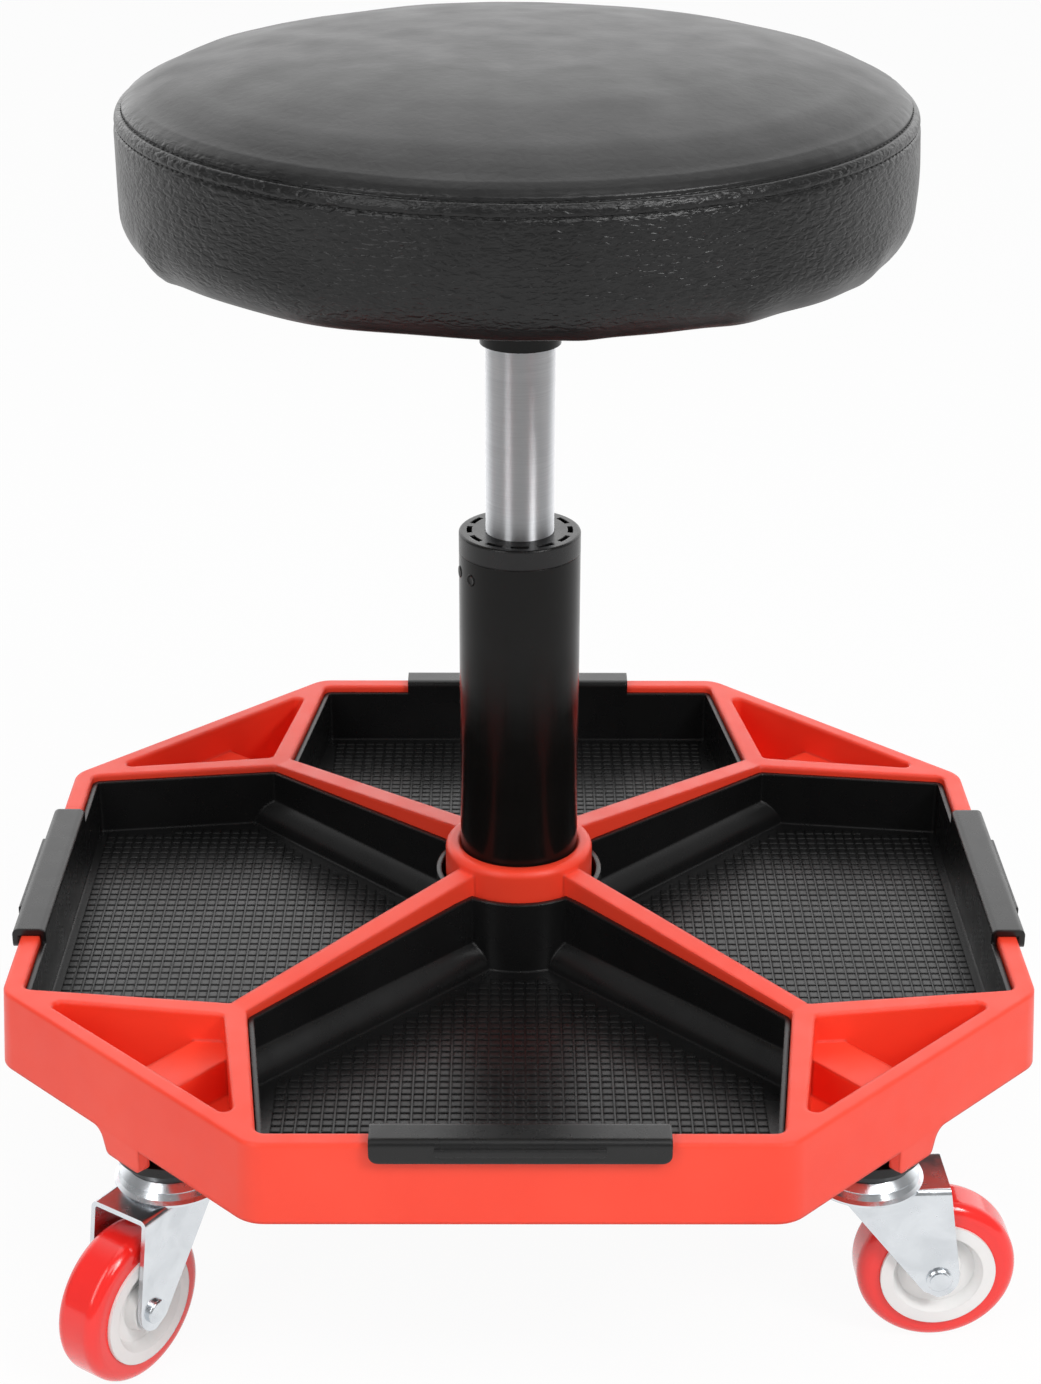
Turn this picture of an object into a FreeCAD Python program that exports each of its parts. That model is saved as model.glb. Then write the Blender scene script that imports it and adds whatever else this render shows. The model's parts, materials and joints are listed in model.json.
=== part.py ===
# Rolling mechanic's stool: a round padded seat on a gas lift, a moulded octagonal
# base with four lift-out tool trays, and four swivel casters.
# Millimetres, +Z up, the floor at z = 0, the lift's axis on Z, the front towards -Y.
import FreeCAD
import Part
import Sketcher
import math
import os
import re
from FreeCAD import Placement, Rotation, Vector

SIZES = {
    # Moulded base
    "rim_top": 134.0,
    "wall_height": 33.2,
    "rim_half_width": 206.5,
    "rim_corner_reach": 99.0,
    "wall_draft": 2.1,
    "rim_corner_radius": 15.0,
    "rim_edge_radius": 1.2,
    "rim_face": 8.0,
    "opening_corner_inset": 2.4,
    "opening_waist": 107.4,
    "opening_corner_radius": 4.0,
    "ledge_width": 4.0,
    "ledge_thickness": 2.8,
    "spoke_width": 9.2,
    "spoke_rise": 12.7,
    "arm_radius": 12.7,
    "hub_outer": 31.5,
    "hub_rise": 17.2,
    "hub_edge_radius": 3.0,
    "hub_mouth_bevel": 1.2,
    "pocket_web": 9.0,
    "pocket_side_web": 8.7,
    "pocket_rim": 16.5,
    "pocket_corner_radius": 3.0,
    "pocket_floor": 4.0,
    "pocket_arm_width": 20.0,
    "pocket_arm_drop": 12.5,
    "pocket_arm_fall": 3.0,
    "pocket_arm_root": 2.0,
    "tab_width": 24.0,
    "tab_slope": 3.5,
    "tab_depth": 10.3,
    "tab_thickness": 5.0,
    "tab_root": 0.4,
    "tab_flare": 6.0,
    "tab_radius": 2.5,
    # Trays
    "tray_clearance": 0.5,
    "tray_wall": 2.0,
    "tray_floor": 2.0,
    "tray_rim_drop": 3.0,
    "tray_hub_rise": 4.0,
    "tray_hub_radius": 33.5,
    "ridge_clearance": 0.3,
    "hook_length": 110.0,
    "hook_thickness": 3.0,
    "hook_clearance": 0.4,
    "hook_depth": 6.0,
    "hook_corner_radius": 3.5,
    "hook_round": 2.6,
    "hook_band_length": 62.0,
    "hook_band_proud": 1.5,
    "hook_band_foot": 2.5,
    # Column
    "tube_radius": 25.0,
    "tube_wall": 2.0,
    "tube_foot_radius": 24.0,
    "tube_foot": 72.0,
    "tube_floor": 3.0,
    "bush_top": 293.4,
    "bush_collar_height": 8.5,
    "bush_edge": 1.0,
    "bush_sleeve_length": 62.0,
    "bush_slot_outer": 21.8,
    "bush_slot_width": 2.2,
    "bush_slot_depth": 4.0,
    "bush_slot_angle": 20.0,
    "bush_slot_count": 12,
    "running_clearance": 0.06,
    # Gas lift
    "cylinder_radius": 14.0,
    "cylinder_wall": 1.6,
    "cylinder_foot": 194.0,
    "cylinder_taper_length": 25.0,
    "cylinder_tip_radius": 13.2,
    "cylinder_head": 18.0,
    "rod_radius": 5.0,
    "rod_top": 270.0,
    "rod_shoulder_radius": 8.0,
    "rod_shoulder_height": 4.0,
    "rod_tail": 6.0,
    "rod_neck_radius": 4.2,
    "clip_radius": 8.0,
    "clip_thickness": 1.5,
    "clip_gap": 0.3,
    "bearing_radius": 16.0,
    "bearing_height": 6.0,
    "buffer_radius": 17.0,
    "buffer_height": 16.0,
    "piston_height": 8.0,
    "guide_height": 12.0,
    "button_radius": 4.0,
    "button_length": 16.0,
    "button_rise": 5.0,
    # Seat
    "socket_radius": 16.3,
    "socket_height": 42.8,
    "socket_slot_width": 11.0,
    "socket_slot_height": 15.0,
    "seat_underside": 416.6,
    "seat_radius": 152.6,
    "seat_foot_radius": 15.0,
    "seat_wall_height": 44.9,
    "band_height": 8.0,
    "seam_depth": 1.0,
    "crown_height": 23.5,
    "cover_thickness": 2.0,
    "cover_return": 35.0,
    "cover_fill": 14.6,
    "board_thickness": 12.0,
    "plate_margin": 11.0,
    "plate_corner_radius": 10.0,
    "plate_thickness": 3.0,
    "screw_inset": 13.0,
    "screw_radius": 3.0,
    "screw_length": 13.0,
    "screw_head_radius": 5.5,
    "screw_head_height": 4.0,
    # Release lever
    "lever_pivot": 30.0,
    "lever_pivot_drop": 7.5,
    "lever_width": 8.0,
    "lever_thickness": 5.0,
    "lever_inset": 40.6,
    "lever_fall": 14.0,
    "lever_gap": 0.4,
    "lever_pin_radius": 2.0,
    "ear_thickness": 2.5,
    "ear_gap": 0.3,
    "ear_half_width": 6.0,
    "ear_depth": 6.0,
    "grip_length": 34.0,
    "grip_width": 17.0,
    "grip_thickness": 9.0,
    # Casters
    "swivel_inset": 16.05,
    "trail": 30.0,
    "wheel_radius": 31.8,
    "tread_width": 20.0,
    "tread_edge_radius": 5.0,
    "wheel_hub_radius": 23.1,
    "wheel_hub_width": 22.6,
    "dish_outer": 18.0,
    "dish_inner": 9.0,
    "dish_depth": 4.5,
    "dish_slope": 2.5,
    "axle_radius": 4.0,
    "axle_reach": 16.1,
    "axle_head_radius": 5.0,
    "nut_radius": 5.2,
    "axle_fillet": 1.2,
    "fork_width": 27.9,
    "fork_sheet": 2.0,
    "wheel_gap": 8.4,
    "fork_bend": 3.0,
    "fork_front": 32.0,
    "fork_hip": 38.0,
    "fork_hip_rise": 2.7,
    "fork_back": 11.5,
    "fork_toe_drop": 8.6,
    "fork_toe_radius": 6.0,
    "crown_radius": 23.0,
    "crown_rise": 3.1,
    "race_radius": 21.0,
    "race_gap": 0.5,
    "race_height": 3.4,
    "race_lip": 2.8,
    "race_edge": 0.6,
    "stem_radius": 5.0,
    "stem_head_radius": 9.0,
    "stem_head_height": 4.0,
    "stem_gap": 0.3,
    "socket_bottom_radius": 18.0,
    "socket_cup_radius": 22.0,
    "socket_cup_height": 5.0,
    "socket_neck_radius": 15.5,
    "socket_tab_gap": 0.5,
    "socket_spigot_radius": 9.0,
    "socket_spigot_height": 11.0,
    # Direction of each caster's trail, degrees from +X
    "trail_front_left": 235.75,
    "trail_front_right": 2.25,
    "trail_back_left": 160.0,
    "trail_back_right": 75.0,
    # Cutting tools run past what they cut by this much
    "overrun": 4.0,
}

# Worked out from the sizes above, in order.
LEVELS = {
    "rim_bottom": "rim_top - wall_height",
    "opening_front": "rim_half_width - rim_face",
    "opening_corner": "rim_corner_reach - opening_corner_inset",
    "pocket_near": "opening_waist + pocket_web",
    "pocket_side": "opening_corner + pocket_side_web",
    "pocket_far": "rim_half_width - pocket_rim",
    "swivel_offset": "(rim_half_width + rim_corner_reach) / 2 - swivel_inset",
    "foot_half_width": "rim_half_width + wall_draft",
    "foot_corner_reach": "rim_corner_reach + wall_draft * tan(22.5)",
    "ledge_top": "rim_bottom + ledge_thickness",
    "spoke_step": "spoke_width / 2 * sqrt(2)",
    "waist_back": "opening_waist + spoke_step",
    "side_slope": "(opening_waist - opening_corner) / (opening_front - waist_back)",
    "side_scale": "sqrt(1 + side_slope * side_slope)",
    "waist_inset": "(side_slope * sqrt(2) + side_scale) / (1 + side_slope)",
    "junction_run": "(opening_waist + waist_back) / sqrt(2)",
    "pocket_run": "pocket_near * sqrt(2)",
    "pocket_end_run": "(pocket_side + pocket_far) / sqrt(2)",
    "flat_run": "(foot_half_width + foot_corner_reach) / sqrt(2)",
    "hub_top": "rim_top + hub_rise",
    "pocket_arm_top": "rim_top - pocket_arm_drop",
    "tray_floor_top": "ledge_top + tray_floor",
    "tray_rim": "rim_top - tray_rim_drop",
    "tray_hub_top": "rim_top + tray_hub_rise",
    "tray_front": "opening_front - tray_clearance",
    "ridge_inner": "arm_radius + ridge_clearance",
    "ridge_outer": "ridge_inner + tray_wall",
    "hook_under": "rim_top + hook_clearance",
    "hook_top": "hook_under + hook_thickness",
    "hook_foot": "rim_top - hook_depth",
    "hook_inner": "rim_half_width + wall_draft * hook_depth / wall_height + hook_clearance",
    "hook_outer": "hook_inner + hook_thickness - hook_clearance",
    "tube_top": "bush_top - bush_collar_height",
    "tube_bore": "tube_radius - tube_wall",
    "board_bottom": "seat_underside + cover_thickness",
    "board_top": "board_bottom + board_thickness",
    "plate_bottom": "board_bottom - plate_thickness",
    "socket_foot": "plate_bottom - socket_height",
    "cylinder_bore": "cylinder_radius - cylinder_wall",
    "cylinder_top": "socket_foot + cylinder_taper_length",
    "cavity_top": "cylinder_top - cylinder_head",
    "bearing_bottom": "tube_foot + tube_floor",
    "shoulder_bottom": "bearing_bottom + bearing_height",
    "shoulder_top": "shoulder_bottom + rod_shoulder_height",
    "clip_top": "tube_foot - clip_gap",
    "guide_top": "cylinder_foot + guide_height",
    "button_top": "cylinder_top + button_rise",
    "board_radius": "seat_radius - cover_fill",
    "plate_reach": "board_radius - cover_return - plate_margin",
    "plate_half_width": "(plate_reach - plate_corner_radius) / sqrt(2) + plate_corner_radius",
    "screw_offset": "plate_half_width - screw_inset",
    "lever_reach": "seat_radius - lever_inset",
    "seat_seam": "seat_underside + seat_wall_height",
    "seat_edge": "seat_seam + band_height",
    "pivot_height": "plate_bottom - lever_pivot_drop",
    "lever_under": "button_top + lever_gap",
    "leg_inside": "fork_width / 2 - fork_sheet",
    "fork_top": "2 * wheel_radius + wheel_gap + fork_sheet",
    "fork_hip_height": "wheel_radius + fork_hip_rise",
    "fork_toe_height": "wheel_radius - fork_toe_drop",
    "crown_top": "fork_top + crown_rise",
    "race_bottom": "crown_top + race_gap",
    "race_top": "race_bottom + race_height",
    "socket_cup_top": "rim_bottom - tab_depth - socket_tab_gap",
}

CORNERS = {
    "front_left": (-1, -1),
    "front_right": (1, -1),
    "back_left": (-1, 1),
    "back_right": (1, 1),
}
SIDES = {"front": 0, "right": 90, "back": 180, "left": 270}

# Crown of the seat: shares of its radius and of its height, and the arcs between.
CROWN_POINT_SHARES = ((0.95, 0.277), (0.65, 0.783), (0.2, 1))
CROWN_ARC_SHARES = (0.111, 1.02, 3.05)

doc = FreeCAD.newDocument("CreeperSeat")


def fill_sheet(name, cells):
    sheet = doc.addObject("Spreadsheet::Sheet", name)
    for row, (alias, content) in enumerate(cells.items(), start=1):
        sheet.set(f"A{row}", alias)
        sheet.set(f"B{row}", str(content))
        sheet.setAlias(f"B{row}", alias)
    return sheet


def bound(text):
    """Give each size named in the text the name of the sheet that holds it."""
    def swap(match):
        word = match.group(0)
        if word in SIZES:
            return f"Sizes.{word}"
        if word in LEVELS:
            return f"Levels.{word}"
        return word
    return re.sub(r"[a-z_]+", swap, str(text))


sizes = fill_sheet("Sizes", SIZES)
levels = fill_sheet("Levels", {name: "=" + bound(text) for name, text in LEVELS.items()})
doc.recompute()


def value(text):
    return float(sizes.evalExpression(bound(text)))


def size(item, prop, text):
    item.setExpression(prop, bound(text))


def new_body(label):
    return doc.addObject("PartDesign::Body", label)


def origin_part(body, role):
    return next(part for part in body.Origin.OriginFeatures if part.Role == role)


def side_of(start, end, radius, side):
    """Centre of the arc from start to end, on the given side of its chord."""
    chord = end - start
    middle = (start + end) * 0.5
    half = chord.Length / 2
    reach = math.sqrt(max(radius * radius - half * half, 0))
    across = Vector(-chord.y, chord.x, 0).normalize()
    return middle + across * (reach * side)


def arc_between(centre, start, end, side):
    """A counter-clockwise sketch arc, and which of its ends the start is."""
    first, last = (start, end) if side > 0 else (end, start)
    begin = math.atan2(first.y - centre.y, first.x - centre.x)
    finish = math.atan2(last.y - centre.y, last.x - centre.x)
    if finish <= begin:
        finish += 2 * math.pi
    circle = Part.Circle(centre, Vector(0, 0, 1), (start - centre).Length)
    return Part.ArcOfCircle(circle, begin, finish), (1, 2) if side > 0 else (2, 1)


def sketch(body, name, plane, corners, arcs=None, turn="0", out="0", up="0"):
    """A closed outline on one of the body's planes.

    Each corner is (x, y) or (x, y, rounding radius). arcs gives, by the corner that it
    starts from, (radius, side) of a stretch that is an arc: side 1 turns to the left.
    turn swings the plane about the sketch's upright, out moves it along its normal.
    """
    arcs = arcs or {}
    item = body.newObject("Sketcher::SketchObject", name)
    item.AttachmentSupport = (origin_part(body, plane), [""])
    item.MapMode = "FlatFace"
    item.AttachmentOffset = Placement(Vector(), Rotation(Vector(0, 1, 0), value(turn)))
    size(item, "AttachmentOffset.Base.x", f"({out}) * sin({turn})")
    size(item, "AttachmentOffset.Base.y", up)
    size(item, "AttachmentOffset.Base.z", f"({out}) * cos({turn})")

    places = [Vector(value(corner[0]), value(corner[1]), 0) for corner in corners]
    count = len(places)
    starts = list(places)
    ends = list(places)
    roundings = {}
    for index, corner in enumerate(corners):
        if len(corner) < 3 or value(corner[2]) <= 0:
            continue
        back = (places[index - 1] - places[index]).normalize()
        ahead = (places[(index + 1) % count] - places[index]).normalize()
        half = back.getAngle(ahead) / 2
        radius = value(corner[2])
        ends[index] = places[index] + back * (radius / math.tan(half))
        starts[index] = places[index] + ahead * (radius / math.tan(half))
        centre = places[index] + (back + ahead).normalize() * (radius / math.sin(half))
        side = 1 if back.cross(ahead).z < 0 else -1
        roundings[index] = arc_between(centre, ends[index], starts[index], side)

    stretches = []
    for index in range(count):
        start = starts[index]
        end = ends[(index + 1) % count]
        if index in arcs:
            radius, side = arcs[index]
            centre = side_of(start, end, value(radius), side)
            piece, order = arc_between(centre, start, end, side)
        else:
            piece, order = Part.LineSegment(start, end), (1, 2)
        stretches.append((item.addGeometry(piece, False), order))

    def limit(kind, number, position, text):
        distance = Sketcher.Constraint(kind, -1, 1, number, position, value(text))
        size(item, f"Constraints[{item.addConstraint(distance)}]", text)

    def radius_limit(number, text):
        constraint = Sketcher.Constraint("Radius", number, value(text))
        size(item, f"Constraints[{item.addConstraint(constraint)}]", text)

    for index, corner in enumerate(corners):
        before, before_order = stretches[index - 1]
        after, after_order = stretches[index]
        if index in roundings:
            piece, order = roundings[index]
            rounding = item.addGeometry(piece, False)
            item.addConstraint(Sketcher.Constraint("Tangent", before, before_order[1], rounding, order[0]))
            item.addConstraint(Sketcher.Constraint("Tangent", rounding, order[1], after, after_order[0]))
            radius_limit(rounding, corner[2])
            mark = item.addGeometry(Part.Point(places[index]), True)
            item.addConstraint(Sketcher.Constraint("PointOnObject", mark, 1, before))
            item.addConstraint(Sketcher.Constraint("PointOnObject", mark, 1, after))
            limit("DistanceX", mark, 1, corner[0])
            limit("DistanceY", mark, 1, corner[1])
        else:
            item.addConstraint(Sketcher.Constraint("Coincident", before, before_order[1], after, after_order[0]))
            limit("DistanceX", after, after_order[0], corner[0])
            limit("DistanceY", after, after_order[0], corner[1])
    for index, (radius, side) in arcs.items():
        radius_limit(stretches[index][0], radius)
    return item


def circle_sketch(body, name, plane, x, y, radius, out="0"):
    item = body.newObject("Sketcher::SketchObject", name)
    item.AttachmentSupport = (origin_part(body, plane), [""])
    item.MapMode = "FlatFace"
    size(item, "AttachmentOffset.Base.z", out)
    centre = Vector(value(x), value(y), 0)
    ring = item.addGeometry(Part.Circle(centre, Vector(0, 0, 1), value(radius)), False)
    for kind, text in (("DistanceX", x), ("DistanceY", y)):
        distance = Sketcher.Constraint(kind, -1, 1, ring, 3, value(text))
        size(item, f"Constraints[{item.addConstraint(distance)}]", text)
    wide = item.addConstraint(Sketcher.Constraint("Radius", ring, value(radius)))
    size(item, f"Constraints[{wide}]", radius)
    return item


def pad(body, name, profile, length, taper=None, middle=False):
    item = body.newObject("PartDesign::Pad", name)
    item.Profile = profile
    size(item, "Length", length)
    if taper:
        size(item, "TaperAngle", taper)
    if middle:
        item.SideType = "Symmetric"
    profile.Visibility = False
    return item


def pocket(body, name, profile, length, middle=False, reverse=False):
    before = body.Tip.Shape.Volume
    item = body.newObject("PartDesign::Pocket", name)
    item.Profile = profile
    item.Reversed = reverse
    size(item, "Length", length)
    if middle:
        item.SideType = "Symmetric"
    profile.Visibility = False
    doc.recompute()
    if item.Shape.Volume >= before:
        raise RuntimeError(f"{name} cuts nothing")
    return item


def turned(body, name, profile, cut=False):
    item = body.newObject("PartDesign::Groove" if cut else "PartDesign::Revolution", name)
    item.Profile = profile
    item.ReferenceAxis = (profile, ["V_Axis"])
    item.Angle = 360
    profile.Visibility = False
    return item


def around(body, name, originals, count):
    item = body.newObject("PartDesign::PolarPattern", name)
    item.Originals = originals
    item.Axis = (origin_part(body, "Z_Axis"), [""])
    item.Angle = 360
    size(item, "Occurrences", count)
    body.Tip = item
    doc.recompute()
    return item


def edges_where(shape, test):
    return [f"Edge{number}" for number, edge in enumerate(shape.Edges, start=1) if test(edge)]


def rounded(body, name, test, radius):
    doc.recompute()
    base = body.Tip
    item = body.newObject("PartDesign::Fillet", name)
    item.Base = (base, edges_where(base.Shape, test))
    size(item, "Radius", radius)
    doc.recompute()
    return item


def level(edge, height):
    return all(abs(vertex.Point.z - height) < 0.001 for vertex in edge.Vertexes)


def revolved(label, corners, arcs=None, plane="XZ_Plane"):
    """A part turned from one outline about the plane's upright axis."""
    body = new_body(label)
    turned(body, f"{label}_turn", sketch(body, f"{label}_outline", plane, corners, arcs))
    return body


def octagon(half, reach, radius):
    return [
        (reach, f"-({half})", radius), (half, f"-({reach})", radius),
        (half, reach, radius), (reach, half, radius),
        (f"-({reach})", half, radius), (f"-({half})", reach, radius),
        (f"-({half})", f"-({reach})", radius), (f"-({reach})", f"-({half})", radius),
    ]


def opening_places(inset):
    """Waist and outer corner of the front opening, drawn in all round by the inset."""
    waist = f"opening_waist - ({inset}) * waist_inset"
    waist_back = f"{waist} + spoke_step + ({inset}) * sqrt(2)"
    corner = f"opening_corner + (side_slope - side_scale) * ({inset})"
    front = f"opening_front - ({inset})"
    return waist, waist_back, corner, front


def opening_outline(inset, radius):
    waist, waist_back, corner, front = opening_places(inset)
    return [
        ("0", f"-(spoke_step + ({inset}) * sqrt(2))"),
        (f"-({waist})", f"-({waist_back})", radius),
        (f"-({corner})", f"-({front})", radius),
        (corner, f"-({front})", radius),
        (waist, f"-({waist_back})", radius),
    ]


def tray_outline(inset, hub_radius, radius):
    """The opening's outline with its hub end cut round the hub."""
    waist, waist_back, corner, front = opening_places(inset)
    step = f"(spoke_step + ({inset}) * sqrt(2))"
    hub_x = f"(sqrt(2 * ({hub_radius}) * ({hub_radius}) - {step} * {step}) - {step}) / 2"
    hub_y = f"{hub_x} + {step}"
    corners = [
        (hub_x, f"-({hub_y})"),
        (f"-({hub_x})", f"-({hub_y})"),
        (f"-({waist})", f"-({waist_back})", radius),
        (f"-({corner})", f"-({front})", radius),
        (corner, f"-({front})", radius),
        (waist, f"-({waist_back})", radius),
    ]
    return corners, {0: (hub_radius, -1)}


def make_base_frame():
    body = new_body("base_frame")
    rim = sketch(body, "rim_outline", "XY_Plane",
                 octagon("foot_half_width", "foot_corner_reach", "rim_corner_radius"), out="rim_bottom")
    pad(body, "rim_block", rim, "wall_height", taper="-atan(wall_draft / wall_height)")
    top = value("rim_top")
    rounded(body, "rim_edge", lambda edge: level(edge, top), "rim_edge_radius")

    well = sketch(body, "well_outline", "XY_Plane",
                  opening_outline("0", "opening_corner_radius"), out="rim_top + overrun")
    doc.recompute()
    well_cut = pocket(body, "well_cut", well, "wall_height - ledge_thickness + overrun")
    through = sketch(body, "through_outline", "XY_Plane",
                     opening_outline("ledge_width", "0"), out="rim_top + overrun")
    through_cut = pocket(body, "through_cut", through, "wall_height + 2 * overrun")
    around(body, "wells", [well_cut, through_cut], "4")

    corner = sketch(body, "corner_pocket_outline", "XY_Plane", [
        ("pocket_near", "pocket_near", "pocket_corner_radius"),
        ("pocket_far", "pocket_side", "pocket_corner_radius"),
        ("pocket_side", "pocket_far", "pocket_corner_radius"),
    ], out="rim_top + overrun")
    corner_cut = pocket(body, "corner_pocket", corner, "wall_height - pocket_floor + overrun")
    around(body, "corner_pockets", [corner_cut], "4")
    side_limit = value("rim_half_width - 3 * rim_edge_radius")
    corner_limit = value("rim_half_width + rim_corner_reach - 3 * rim_edge_radius")

    def inner_edge(edge):
        across = abs(edge.CenterOfMass.x)
        back = abs(edge.CenterOfMass.y)
        return level(edge, top) and max(across, back) < side_limit and across + back < corner_limit

    rounded(body, "opening_edges", inner_edge, "rim_edge_radius")

    spoke = sketch(body, "spoke_outline", "XZ_Plane", [
        ("tube_radius", "rim_top - spoke_rise"),
        ("junction_run", "rim_top - spoke_rise"),
        ("junction_run", "rim_top"),
        ("hub_outer", "rim_top + spoke_rise"),
        ("tube_radius", "rim_top + spoke_rise"),
    ], turn="45")
    spoke_pad = pad(body, "spoke", spoke, "spoke_width", middle=True)
    arm = sketch(body, "arm_outline", "YZ_Plane", [
        ("-arm_radius", "rim_bottom"),
        ("arm_radius", "rim_bottom"),
        ("arm_radius", "ledge_top"),
        ("0", "ledge_top + arm_radius"),
        ("-arm_radius", "ledge_top"),
    ], arcs={2: ("arm_radius", 1), 3: ("arm_radius", 1)}, turn="45")
    arm_pad = pad(body, "arm", arm, "pocket_run")
    arm_end = sketch(body, "pocket_arm_outline", "XZ_Plane", [
        ("pocket_run - pocket_arm_root", "rim_bottom"),
        ("pocket_end_run + ledge_width", "rim_bottom"),
        ("pocket_end_run + ledge_width", "pocket_arm_top - pocket_arm_fall"),
        ("pocket_run - pocket_arm_root", "pocket_arm_top"),
    ], turn="45")
    arm_end_pad = pad(body, "pocket_arm", arm_end, "pocket_arm_width", middle=True)
    around(body, "arms", [spoke_pad, arm_pad, arm_end_pad], "4")

    # Each tab flares into the wall on its outer side, and neighbours are mirror images
    tab_pads = []
    for hand, turn, flared, plain in (("a", "45", "-1", "1"), ("b", "-45", "1", "-1")):
        tab = sketch(body, f"tab_outline_{hand}", "YZ_Plane", [
            (f"{flared} * (tab_width / 2 + tab_flare)", "rim_bottom + tab_root"),
            (f"{flared} * (tab_width / 2 + tab_flare)", "rim_bottom"),
            (f"{flared} * tab_width / 2", "rim_bottom", "tab_flare"),
            (f"{flared} * (tab_width / 2 - tab_slope)", "rim_bottom - tab_depth", "tab_radius"),
            (f"{plain} * tab_width / 2", "rim_bottom - tab_depth", "tab_radius"),
            (f"{plain} * tab_width / 2", "rim_bottom + tab_root"),
        ], turn=turn, out="flat_run - tab_thickness")
        tab_pads.append(pad(body, f"tab_{hand}", tab, "tab_thickness"))
    around(body, "tabs", tab_pads, "2")

    hub = sketch(body, "hub_outline", "XZ_Plane", [
        ("tube_foot_radius - tube_wall", "rim_bottom"),
        ("hub_outer", "rim_bottom"),
        ("hub_outer", "hub_top - hub_edge_radius"),
        ("hub_outer - hub_edge_radius", "hub_top"),
        ("tube_foot_radius - tube_wall", "hub_top"),
    ], arcs={2: ("hub_edge_radius", 1)})
    turned(body, "hub", hub)
    doc.recompute()
    bore = sketch(body, "bore_outline", "XZ_Plane", [
        ("0", "rim_bottom - overrun"),
        ("tube_foot_radius", "rim_bottom - overrun"),
        ("tube_foot_radius", "rim_bottom"),
        ("tube_radius", "hub_top - hub_mouth_bevel"),
        ("tube_radius + hub_mouth_bevel", "hub_top"),
        ("tube_radius + hub_mouth_bevel", "hub_top + overrun"),
        ("0", "hub_top + overrun"),
    ])
    turned(body, "hub_bore", bore, cut=True)
    doc.recompute()
    seat_hole = circle_sketch(body, "caster_hole_outline", "XY_Plane",
                              "swivel_offset", "swivel_offset", "socket_spigot_radius",
                              out="rim_bottom + socket_spigot_height")
    hole_cut = pocket(body, "caster_hole", seat_hole, "socket_spigot_height + overrun")
    around(body, "caster_holes", [hole_cut], "4")
    return body


def hook_body(side):
    """The hook by which a tray hangs over the rim, drawn for the front tray."""
    body = new_body(f"hook_{side}")
    profile = sketch(body, f"hook_profile_{side}", "YZ_Plane", [
        ("-(tray_front - tray_wall)", "tray_rim - tray_wall"),
        ("-(tray_front - tray_wall)", "hook_top", "hook_round"),
        ("-hook_outer", "hook_top", "hook_round"),
        ("-hook_outer", "hook_foot"),
        ("-hook_inner", "hook_foot"),
        ("-hook_inner", "hook_under"),
        ("-tray_front", "hook_under"),
        ("-tray_front", "tray_rim - tray_wall"),
    ])
    pad(body, f"hook_arch_{side}", profile, "hook_length", middle=True)
    foot = value("hook_foot")
    rounded(body, f"hook_corners_{side}",
            lambda edge: level(edge, foot) and edge.Length < value("hook_thickness"), "hook_corner_radius")
    band = sketch(body, f"hook_band_profile_{side}", "YZ_Plane", [
        ("-(hook_outer + hook_band_proud)", "rim_top - hook_band_foot"),
        ("-(hook_outer - hook_clearance)", "rim_top - hook_band_foot"),
        ("-(hook_outer - hook_clearance)", "hook_top - hook_round"),
        ("-(hook_outer + hook_band_proud)", "hook_top - hook_round", "hook_band_proud / 2"),
    ])
    pad(body, f"hook_band_{side}", band, "hook_band_length", middle=True)
    return body


def cylinder(name, radius, length, place, rotation):
    item = doc.addObject("Part::Cylinder", name)
    size(item, "Radius", radius)
    size(item, "Height", length)
    item.Placement = Placement(Vector(), rotation)
    size(item, "Placement.Base.z", place)
    return item


def joined(kind, name, base, tool):
    item = doc.addObject(f"Part::{kind}", name)
    item.Base = base
    item.Tool = tool
    return item


def make_tray(side, angle):
    inner = "tray_clearance + tray_wall"
    block = new_body(f"tray_block_{side}")
    outline, arcs = tray_outline("tray_clearance", "tray_hub_radius",
                                 "opening_corner_radius - tray_clearance")
    pad(block, f"tray_pad_{side}",
        sketch(block, f"tray_outline_{side}", "XY_Plane", outline, arcs, out="ledge_top"),
        "tray_hub_top - ledge_top")
    doc.recompute()
    slope = sketch(block, f"tray_rim_profile_{side}", "YZ_Plane", [
        ("-(opening_front + overrun)", "tray_rim"),
        ("-waist_back", "tray_rim"),
        ("-tray_hub_radius", "tray_hub_top"),
        ("-tray_hub_radius", "tray_hub_top + overrun"),
        ("-(opening_front + overrun)", "tray_hub_top + overrun"),
    ])
    pocket(block, f"tray_rim_cut_{side}", slope, "2 * waist_back", middle=True)

    hollow = new_body(f"tray_hollow_{side}")
    outline, arcs = tray_outline(inner, "tray_hub_radius + tray_wall",
                                 f"opening_corner_radius - ({inner})")
    pad(hollow, f"tray_hollow_pad_{side}",
        sketch(hollow, f"tray_hollow_outline_{side}", "XY_Plane", outline, arcs, out="tray_floor_top"),
        "tray_hub_top - tray_floor_top + overrun")

    shell_space = hollow
    tunnels = []
    for hand, turn in (("a", -45), ("b", -135)):
        direction = Rotation(Vector(0, 0, 1), Vector(math.cos(math.radians(turn)),
                                                     math.sin(math.radians(turn)), 0))
        ridge = cylinder(f"ridge_{hand}_{side}", "ridge_outer", "pocket_run", "ledge_top", direction)
        shell_space = joined("Cut", f"tray_space_{hand}_{side}", shell_space, ridge)
        tunnels.append(cylinder(f"tunnel_{hand}_{side}", "ridge_inner", "pocket_run", "ledge_top",
                                direction))
    tray = joined("Cut", f"tray_shell_{side}", block, shell_space)
    for hand, tunnel in zip("ab", tunnels):
        tray = joined("Cut", f"tray_tunnel_{hand}_{side}", tray, tunnel)
    tray = joined("Fuse", f"tray_{side}", tray, hook_body(side))
    tray.Placement = Placement(Vector(), Rotation(Vector(0, 0, 1), angle))
    return tray


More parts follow.
